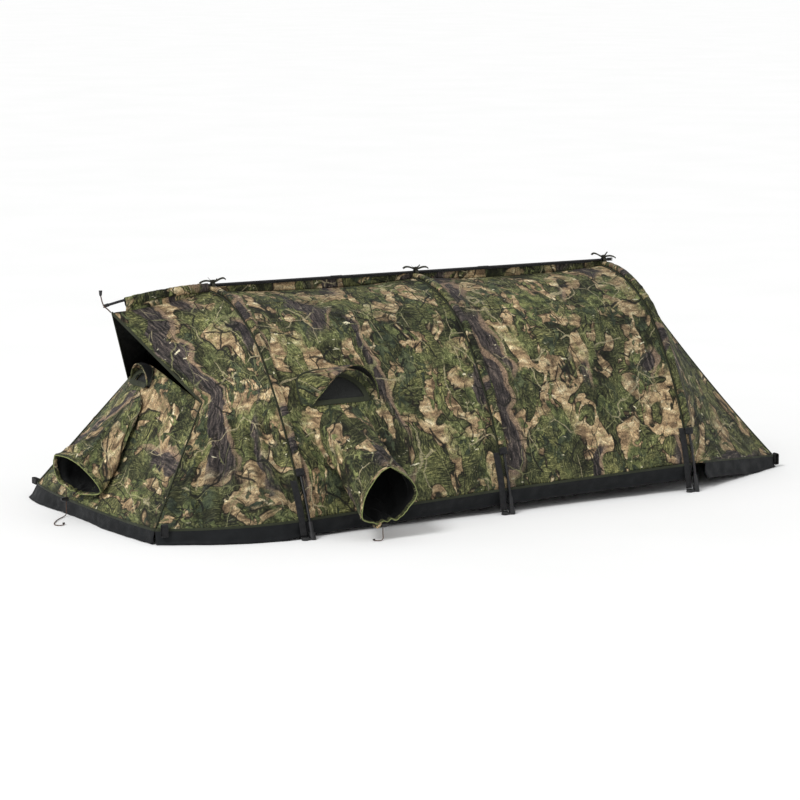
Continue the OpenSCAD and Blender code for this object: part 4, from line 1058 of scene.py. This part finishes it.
def mouth_hem(name, body, rim, before, seed, uv_at):
    """The folded casing round the mouth that the cord runs in, with a pale line along its folded edge as
    painted highlight.
    """
    centre = rim.mean(0)
    forward = unit(np.cross(rim[28] - centre, rim[0] - centre))
    forward = forward * np.sign(forward @ (centre - before.mean(0)))
    out = unit(rim - centre)
    k = np.arange(len(rim))
    lump = (0.7 * noise(k * 0.5, k * 0.0, seed) + 0.5 * noise(k * 1.3, k * 0.0, seed + 1))[:, None]
    shape = [(-1.0, 0.9), (2, 2.2), (6, 2.9), (10, 2.4), (12.5, 0.6), (12.0, -1.8), (8, -3.0), (3, -3.0),
             (-2, -2.4)]
    rings = np.array([rim + forward * a + out * (b + lump) for a, b in shape])
    rows = np.concatenate([rings, rings[:1]])[:, list(range(len(rim))) + [0]]
    obj = grid(f"{name}_mouth_hem_cloth", rows[::-1], materials=[CAMO],
               uv_at=(uv_at[0] + 0.7, uv_at[1] + 0.3))
    attach(obj, f"{name}_sleeve_hem", body=body)
    # A pale tube along the folded edge, as painted highlight.
    edge = rim + forward * 13.0 + out * (0.2 + lump)
    painted_highlight = grid(f"{name}_mouth_piping", sweep(np.vstack([edge, edge[:1]]), out[list(range(len(rim))) + [0]],
                                               ellipse(1.3, 1.3, 8)), wrap=True, materials=[RIM_HIGHLIGHT])
    attach(painted_highlight, body=body)
    low = rim[np.argmin(rim[:, 2])] + forward * 6
    bunch = knot(f"{name}_mouth_gather", low - (0, 0, 7), 13.0, CAMO, 4.2)
    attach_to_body(bunch, body)


def sleeves():
    lens_sleeve("front", "front_sleeve", front_root(), (FRONT_MOUTH, FRONT_MOUTH_UP, FRONT_MOUTH_ACROSS),
                FRONT_OUTLINE, 81, 24.0, (8.0, 0.5))
    lens_sleeve("side", "side_sleeve", side_root(), (SIDE_MOUTH, SIDE_MOUTH_UP, SIDE_MOUTH_ACROSS),
                SIDE_OUTLINE, 91, 4.0, (9.3, 1.4))


# ------------------------------------------------------------------ sleeves over the poles


def open_tube(name, path, side, half, node, uv_at, pucker, seed):
    """A cloth tube with open ends over a pole, puckered where it is sewn down."""
    count = len(path)
    along = np.arange(count)[:, None] * 0.45
    around = np.arange(28)[None, :]
    swell = 1 + pucker * noise(along, around * 0.22, seed)
    swell = swell + 0.6 * pucker * noise(along * 2.6, around * 0.1, seed + 1)
    profile = ellipse(half[0], half[1], 28, 0.75)[None] * swell[..., None]
    rows = sweep(path, side, profile)[:, ::-1]
    obj = grid(name, rows, wrap=True, materials=[CAMO, LINING], uv_at=uv_at)
    thicken(obj, 1.2)
    attach(obj, node)
    declare_sheet(rows, wrap=True)


def hoop_path(i, d, z=SLEEVE_END_Z, count=150):
    low = hoop_angle(i, z, d)
    a = np.linspace(-low, low, count)
    y, z = hoop_point(i, a, d)
    return points_of(HOOP_X[i], y, z), a


def hoop_sleeves():
    for i, which in enumerate(("front", "middle", "rear")):
        path, a = hoop_path(i, 0.0)
        waver = 1.2 * noise(np.arange(len(path)) * 0.16, np.zeros(len(path)), 61 + i)
        path = path + points_of(waver, 0, 0)
        open_tube(f"{which}_hoop_sleeve_cloth", path, (1, 0, 0), (12.2, 7.6), f"{which}_hoop_sleeve",
                  (HOOP_X[i] * MM + 12.0, 1.1 * i), 0.10, 63 + i)
        for side, near_or_far in SIDES:
            cuff_a = np.linspace(hoop_angle(i, 206, 0.0), hoop_angle(i, 186, 0.0), 7) * side
            y, z = hoop_point(i, cuff_a, 0.0)
            cuff = tube(f"{which}_sleeve_cuff_{near_or_far}", points_of(HOOP_X[i], y, z),
                        (1, 0, 0), ellipse(13.4, 8.8, 24, 0.8), [WEBBING])
            attach(cuff)
        # A dark strip on the skin just ahead of each hoop sleeve: painted shadow for the shade the sleeve
        # casts on the bay.
        seam, a = hoop_path(i, SKIN_IN - 0.6, HEM_Z[i] + 6.0)
        welt = strap(f"{which}_hoop_painted_shadow", seam[::3] - (13.5, 0, 0), (1, 0, 0), 7.0, WELT, 2.4, 2)
        attach(welt)
        if i != REAR:
            threads = [(seam + (dx, 0, 0), outward(a)) for dx in (17.0, 22.0)]
            sewn = stitches(f"{which}_hoop_stitches", threads, THREAD)
            attach(sewn)


def bend_point(a, d):
    """Point in the ridge's plane, on the bowed front of the ridge pole, d inside its centre line."""
    r = RIDGE_BEND_R - d
    return points_of(HOOP_X[FRONT] - r * sin(a), 0, RIDGE_Z - RIDGE_BEND_R + r * cos(a))


def ridge():
    path = bend_point(np.linspace(0.6, 11.1, 60), 8.0)
    open_tube("ridge_sleeve_cloth", path, (0, 0, 1), (15.0, 7.2), "ridge_sleeve", (14.2, 0.2), 0.09, 67)
    a = np.linspace(0.6, 11.1, 60)
    top = bend_point(a, 21.0)
    s = (top[:, 0] - PEAK_X) / (HOOP_X[FRONT] - PEAK_X)
    foot = canopy_point(s, np.zeros(60)) - (0, 0, 9.0)
    foot[:, 2] = np.minimum(foot[:, 2], top[:, 2] - 0.5)
    rows = mix(top[:, None], foot[:, None], np.linspace(0, 1, 8)[None, :, None])
    rows[..., 1] += 1.5 * noise(rows[..., 0] / 30, rows[..., 2] / 9, 69)
    gusset = grid("ridge_gusset_cloth", rows, materials=[CAMO, CAMO], uv_at=(15.6, 0.7))
    thicken(gusset, 2.0)
    attach(gusset)
    declare_sheet(rows)
    for i, name in ((FRONT, "front_ridge_band"), (MIDDLE, "rear_ridge_band")):
        x = np.linspace(HOOP_X[i] + 13, HOOP_X[i + 1] - 13, 90)
        s = (x - HOOP_X[i]) / (HOOP_X[i + 1] - HOOP_X[i])
        foot = bay_point(i, s, np.zeros(90))
        top = points_of(x, 1.1 * noise(x / 26, x * 0, 68 + i), RIDGE_Z - POLE_R + 1.8)
        share = np.linspace(0, 1, 7)[None, :, None]
        rows = mix(top[:, None], foot[:, None], share)
        obj = grid(name, rows, materials=[CAMO, CAMO], uv_at=(15.0 + i, 0.4))
        solid = thicken(obj, 2.4)
        solid.modifiers["thickness"].offset = 0
        attach(obj)
        declare_sheet(rows)
        if i == FRONT:
            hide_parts("ridge_welts")
        lip = strap(f"{name}_edge", top[::6] + (0, 0, -2.2), (0, 1, 0), 9.0, WEBBING, 3.0, 3)
        attach(lip)


# ------------------------------------------------------------------ skirt and edges


def skirt(name, tops, feet, out, seed):
    """A charcoal band from the hem to the ground, with a wavy foot, coloured darker than its own charcoal as
    painted shade.
    """
    d = np.concatenate([[0], np.cumsum(np.linalg.norm(np.diff(tops, axis=0), axis=1))])
    k = np.linspace(0, 1, 12)[None, :]
    wave = 5.0 * noise(d[:, None] / 70, k * 0.7, seed) + 2.4 * noise(d[:, None] / 24, k * 1.5, seed + 1)
    curl = 6.0 * smooth((k - 0.72) / 0.28)
    rows = mix(tops[:, None], feet[:, None], k[..., None])
    rows = rows + np.asarray(out)[:, None] * ((wave * smooth(k / 0.5)) + curl + 1.0)[..., None]
    rows[..., 2] += (1.6 * noise(d[:, None] / 40, k * 0, seed + 2) * smooth((k - 0.5) / 0.5))
    rows[..., 2] = np.maximum(rows[..., 2], 0.9)
    obj = grid(name, rows, materials=[SKIRT_WITH_PAINTED_SHADE, SKIRT_WITH_PAINTED_SHADE], uv_at=(seed * 0.3, 0.0))
    thicken(obj, 1.2, lined=False)
    attach(obj)
    declare_sheet(rows)
    return obj


def bay_hem(i, side, n=90):
    s = np.linspace(0.002, 0.998, n)
    return bay_point(i, s, np.full(n, float(side)))


def skirts():
    tuck, hang = 16.0, 50.0
    for side, which in SIDES:
        for i, part in ((FRONT, "front"), (MIDDLE, "rear")):
            tops = bay_hem(i, side) - (0, 0, 2.0)
            feet = np.stack([tops[:, 0], tops[:, 1] - side * tuck, np.maximum(tops[:, 2] - hang, 4)], -1)
            out = np.broadcast_to((0, float(side), 0), tops.shape)
            if side > 0:
                tops, feet = tops[::-1], feet[::-1]
            skirt(f"{which}_{part}_skirt_cloth", tops, feet, out,
                                101 + 3 * i + side)
        s = np.linspace(0.0, 0.998, 70)
        tops = canopy_point(s, np.full(70, float(side))) - (0, 0, 2.0)
        feet = np.stack([tops[:, 0], tops[:, 1] + side * 3, np.maximum(tops[:, 2] - 50, 1)], -1)
        out = np.broadcast_to(unit((-0.35, side, 0)), tops.shape)
        if side > 0:
            tops, feet = tops[::-1], feet[::-1]
        skirt(f"{which}_canopy_skirt_cloth", tops, feet, out, 111 + side)
        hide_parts(f"{which}_skirt")

    tops = front_hem(np.linspace(1, -1, 120)) - (0, 0, 2.0)
    feet = tops * (1, 1, 0) + (-4, 0, 1)
    feet[:, 0] -= 26 * smooth(tops[:, 1] / 380)
    ahead = np.broadcast_to((-1.0, 0, 0), tops.shape)
    obj = skirt("front_skirt_cloth", tops, feet, ahead, 121)
    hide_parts("front_skirt")
    t = np.linspace(-0.97, 0.97, 170)
    tops = tail_hem(t) - (0, 0, 2.0)
    feet = np.stack([tops[:, 0] + 3, tops[:, 1] * 1.008, np.maximum(tops[:, 2] - 52, 1)], -1)
    out = unit(np.stack([np.full(170, 0.6), np.sin(t * 1.4), np.zeros(170)], -1))
    obj = skirt("tail_skirt_cloth", tops, feet, out, 125)
    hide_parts("tail_skirt")


def edge_bindings():
    """Folded edges along the canopy's opening and the hems, and the threads beside the seams."""
    t = np.linspace(-1, 1, 161)
    near, far = canopy_edge(t[:81]), canopy_edge(t[80:])
    lines = [("near_canopy_edge", near, 9.0), ("far_canopy_edge", far, 9.0)]
    for i, part in ((FRONT, "front"), (MIDDLE, "rear")):
        for side, which in SIDES:
            lines.append((f"{which}_{part}_hem_edge", bay_hem(i, side, 40) + (0, side * 1.2, -1), 8.0))
    for side, which in SIDES:
        s = np.linspace(0.0, 0.995, 40)
        hem = canopy_point(s, np.full(40, float(side))) + (0, side, -1)
        lines.append((f"{which}_canopy_hem_edge", hem, 8.0))
    lines.append(("front_hem_edge", front_hem(np.linspace(-1, 1, 60)) - (1, 0, 1), 8.0))
    lines.append(("tail_hem_edge", tail_hem(np.linspace(-0.98, 0.98, 90)) + (1, 0, -1), 8.0))
    for name, line, width in lines:
        edge = tube(name, line, (0, 0, 1), ellipse(width / 2, 1.9, 12, 0.5), [WELT], (16.0, 0.0))
        attach(edge)
    crease = []
    for side, which in SIDES:
        t0 = side * TAIL_CORNER
        s = np.linspace(0.01, 0.99, 80)
        line = tail_point(s, np.full(80, t0))
        normal = outward(rib_angle(REAR, np.full(80, t0)))
        crease.append((line + normal * 1.6 - (0, 6 * side, 0), normal))
        welt = tube(f"tail_seam_{which}", line + normal * 0.8, normal, ellipse(1.6, 3.0, 12), [WELT],
                    (17.0, 0.0))
        attach(welt)
    sewn = stitches("tail_stitches", crease, THREAD)
    attach(sewn)


# ------------------------------------------------------------------ hoods and trim


def hood(name, node, at, across, up, out, wall, rim, uv_at):
    """A visor over a window. wall and rim list (across, up, out) from one foot round to the other."""
    frame_of = np.stack([across, up, out])
    first, last = (resample(catmull(points, 6), 64) @ frame_of + at for points in (wall, rim))
    k = np.linspace(0, 1, 16)[None, :, None]
    rise = np.sin(np.linspace(0, np.pi, 64))[:, None, None]
    ripple = 1.4 * noise(np.arange(64)[:, None] / 6, k[..., 0] * 2, 131)
    puff = 5.0 * hump(k) * rise * up + ripple[..., None] * out
    rows = mix(first[:, None], last[:, None], k) + puff * np.minimum(1, 6 * hump(k))
    obj = grid(name, rows[::-1], materials=[CAMO, LINING], uv_at=uv_at)
    thicken(obj, 1.6)
    attach(obj, node)
    declare_sheet(rows)
    edge = tube(f"{name}_rim", rows[:, -1], out, ellipse(3.2, 2.0, 12, 0.8), [CAMO], (uv_at[0] + 0.4, 0.9))
    base = tube(f"{name}_seam", rows[:, 0] + out * 0.5, out, ellipse(1.6, 3.0, 12), [WELT], (18.0, 0.0))
    for piece in (edge, base):
        attach(piece)


def resample(path, count):
    at = np.concatenate([[0], np.cumsum(np.linalg.norm(np.diff(path, axis=0), axis=1))])
    want = np.linspace(0, at[-1], count)
    return np.stack([np.interp(want, at, path[:, k]) for k in range(path.shape[1])], -1)


def half_moon(w, h, count=40):
    """Outline of a half-moon window from foot to foot, closed along its sill."""
    a = np.linspace(0, 180, count)
    arc = np.stack([-w * cos(a), h * sin(a)], -1)
    return np.vstack([arc, np.stack([np.linspace(w, -w, count), np.zeros(count)], -1)[1:]])


def hoods():
    arch = np.linspace(3, 177, 13)
    wall = np.stack([-70 * cos(arch), 64 * sin(arch), 3 + 0 * arch], -1)
    rim = np.stack([-62 * cos(arch), 52 * sin(arch), 3 + 34 * sin(arch)], -1)
    hood("front_hood_cloth", "front_hood", panel_top(0.0) + (FRONT_WINDOW_DROP - 2) * PANEL_DOWN,
         np.array((0, 1.0, 0)), -PANEL_DOWN, PANEL_OUT, wall, rim, (10.4, 0.3))
    at = wall_point(SIDE_WINDOW_Z - 6)
    wall = ((-131, 0, 6), (-135, 50, 7), (-122, 96, 7), (-70, 114, 7), (0, 117, 7), (60, 115, 7),
            (104, 100, 7), (134, 68, 6), (144, 30, 6), (145, 0, 6))
    rim = ((-96, 0, 7), (-62, 30, 18), (-12, 72, 34), (30, 97, 48), (62, 104, 54), (94, 95, 52),
           (122, 68, 42), (136, 34, 26), (138, 0, 10))
    hood("side_hood_cloth", "side_hood", at, np.array((1.0, 0, 0)), -SIDE_DOWN, SIDE_OUT, wall, rim,
         (11.7, 1.3))
    window_bindings()


def window_bindings():
    """Tape round both windows, which covers the cut edge of the cloth."""
    moon = half_moon(108, 80)
    s = (moon[:, 0] + SIDE_WINDOW_X - HOOP_X[FRONT]) / -HOOP_X[FRONT]
    t = np.array([np.interp(z + SIDE_WINDOW_Z, *near_wall_lookup(v)) for v, z in zip(s, moon[:, 1])])
    side_path = bay_point(FRONT, s, t) + 0.8 * SIDE_OUT
    side_in = unit(side_path.mean(0) - side_path)
    moon = half_moon(58, 46)
    front_path = panel_top(0.0) + points_of(0, moon[:, 0], 0) + 6.0 * PANEL_OUT
    front_path = front_path + (FRONT_WINDOW_DROP - moon[:, 1])[:, None] * PANEL_DOWN
    front_in = unit(front_path.mean(0) - front_path)
    for name, path, inward in (("side_window_binding", side_path, side_in),
                               ("front_window_binding", front_path, front_in)):
        tape = tube(name, path, inward, ellipse(9.0, 1.6, 14, 0.5), [WELT], (19.0, 0.2))
        attach(tape)


def foot_straps():
    """Webbing from each foot clip up on to the cloth beside the pole."""
    made = []
    for i in range(3):
        for side, which in SIDES:
            x = HOOP_X[i] - PEG_OFFSET + 2
            route = []
            for k in np.linspace(0, 1, 13):
                z = mix(CLIP_H + 2, HEM_Z[i] - 12, min(1.0, k * 2))
                if k < 0.5:
                    y, z = hoop_point(i, side * hoop_angle(i, z, SKIN_IN - 2.2), SKIN_IN - 2.2)
                    route.append((x, float(y), float(z)))
                else:
                    p = ahead_of(i, x, side * mix(1, 0.88, k * 2 - 1))
                    route.append(tuple(p + (0, side * 3.0, 0)))
            made.append(strap(f"foot_strap_{i}_{which}", route, (1, 0, 0), STRAP_W, WEBBING, 1.8, 3))
    obj = join("foot_straps_webbing", made)
    attach(obj, "foot_straps")


def ahead_of(i, x, t):
    """Point of the skin just ahead of hoop i."""
    t = np.array(float(t))
    if i == FRONT:
        return canopy_point(1 - (HOOP_X[i] - x) / (HOOP_X[i] - canopy_edge(t)[0]), t)
    return bay_point(i - 1, np.array((x - HOOP_X[i - 1]) / (HOOP_X[i] - HOOP_X[i - 1])), t)


def peg_loops():
    """A webbing loop at each corner: its place, then the directions of its depth, height and width."""
    x, y, z = np.eye(3)
    corners = (("front_peg_loops", ((-1189, -558, 26), y, z, x), ((-1195, 413, 44), x, y, z)),
               ("tail_peg_loops", ((1244, -325, 8), x, z, y), ((1244, 325, 8), x, z, y)))
    turn = np.linspace(0, 180, 13)
    outline = np.vstack([[(7, 0.9), (7, 12), (7, 24)], np.stack([7 * cos(turn), 32 + 7 * sin(turn)], -1),
                         [(-7, 24), (-7, 12), (-7, 0.9), (0, 0.9), (6, 0.9)]])
    for node, *places in corners:
        made = []
        for k, (at, depth, height, across) in enumerate(places):
            path = np.array(at, float) + outline[:, :1] * depth + outline[:, 1:] * height
            made.append(strap(f"{node}_{k}", path, across, 20.0, WEBBING, 2.0, 2))
        obj = join(f"{node}_webbing", made)
        attach(obj, node)


def ribbon_bows():
    """Tapes that lash the ridge pole to each hoop sleeve, tied in a bow on top."""
    made = []
    for i in range(3):
        at = np.array((HOOP_X[i], 0, RIDGE_Z))
        wrap = [(0, -13, -18), (0, -12, -8), (0, -9, 1), (0, -5, 6.4), (0, 0, 7.6), (0, 5, 6.4), (0, 9, 1),
                (0, 12, -8), (0, 13, -18)]
        made.append(strap(f"wrap_{i}", np.array(wrap) + at, (1, 0, 0), 13.0, RIBBON, 1.2, 3))
        made.append(knot(f"bow_knot_{i}", at + (0, 0, 9.5), 6.5, RIBBON, 2.6))
        for side, tilt in ((-1, 3 * i), (1, 6 - 3 * i)):
            tail = [(0, 0, 8), (9, -6 * side, 12), (20, -11 * side, 13 + tilt),
                    (31, -15 * side, 10 + 2 * tilt), (39, -17 * side, 5 + 2 * tilt)]
            path = np.array(tail, float) * (side, 1, 1) + at
            made.append(strap(f"tail_{i}_{side}", path, (0.2, 1, 0.7), 9.0, RIBBON, 1.0, 4))
            loop = [(0, 0, 8), (8, 5 * side, 14), (15, 7 * side, 20 - tilt), (19, 6 * side, 25 - tilt)]
            path = np.array(loop, float) * (side, 1, 1) + at
            made.append(strap(f"end_{i}_{side}", path, (0.3, 1, 0.2), 9.0, RIBBON, 1.0, 4))
    obj = join("ridge_ribbons", made)
    attach(obj, "hoop_ties")


# ------------------------------------------------------------------ run it all

for build in (stage, cords, bays, canopies, front_face, tail, door, sleeves, window_nets, hoop_sleeves, ridge,
              skirts, edge_bindings, hoods, foot_straps, peg_loops, ribbon_bows):
    build()

# The CAD nodes that stay in view, by a word in their names. A later row wins.
for word, material in (("pole", FIBREGLASS), ("ferrules", STEEL), ("ridge_ferrules", DARK_STEEL),
                       ("caps", PLASTIC), ("clips", PLASTIC), ("tips", PLASTIC), ("lock", PLASTIC),
                       ("toggle", PLASTIC), ("button", PLASTIC), ("mesh", NET), ("zip", ZIP)):
    for name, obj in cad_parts.items():
        if word in name and obj.type == "MESH":
            obj.data.materials.clear()
            obj.data.materials.append(material)
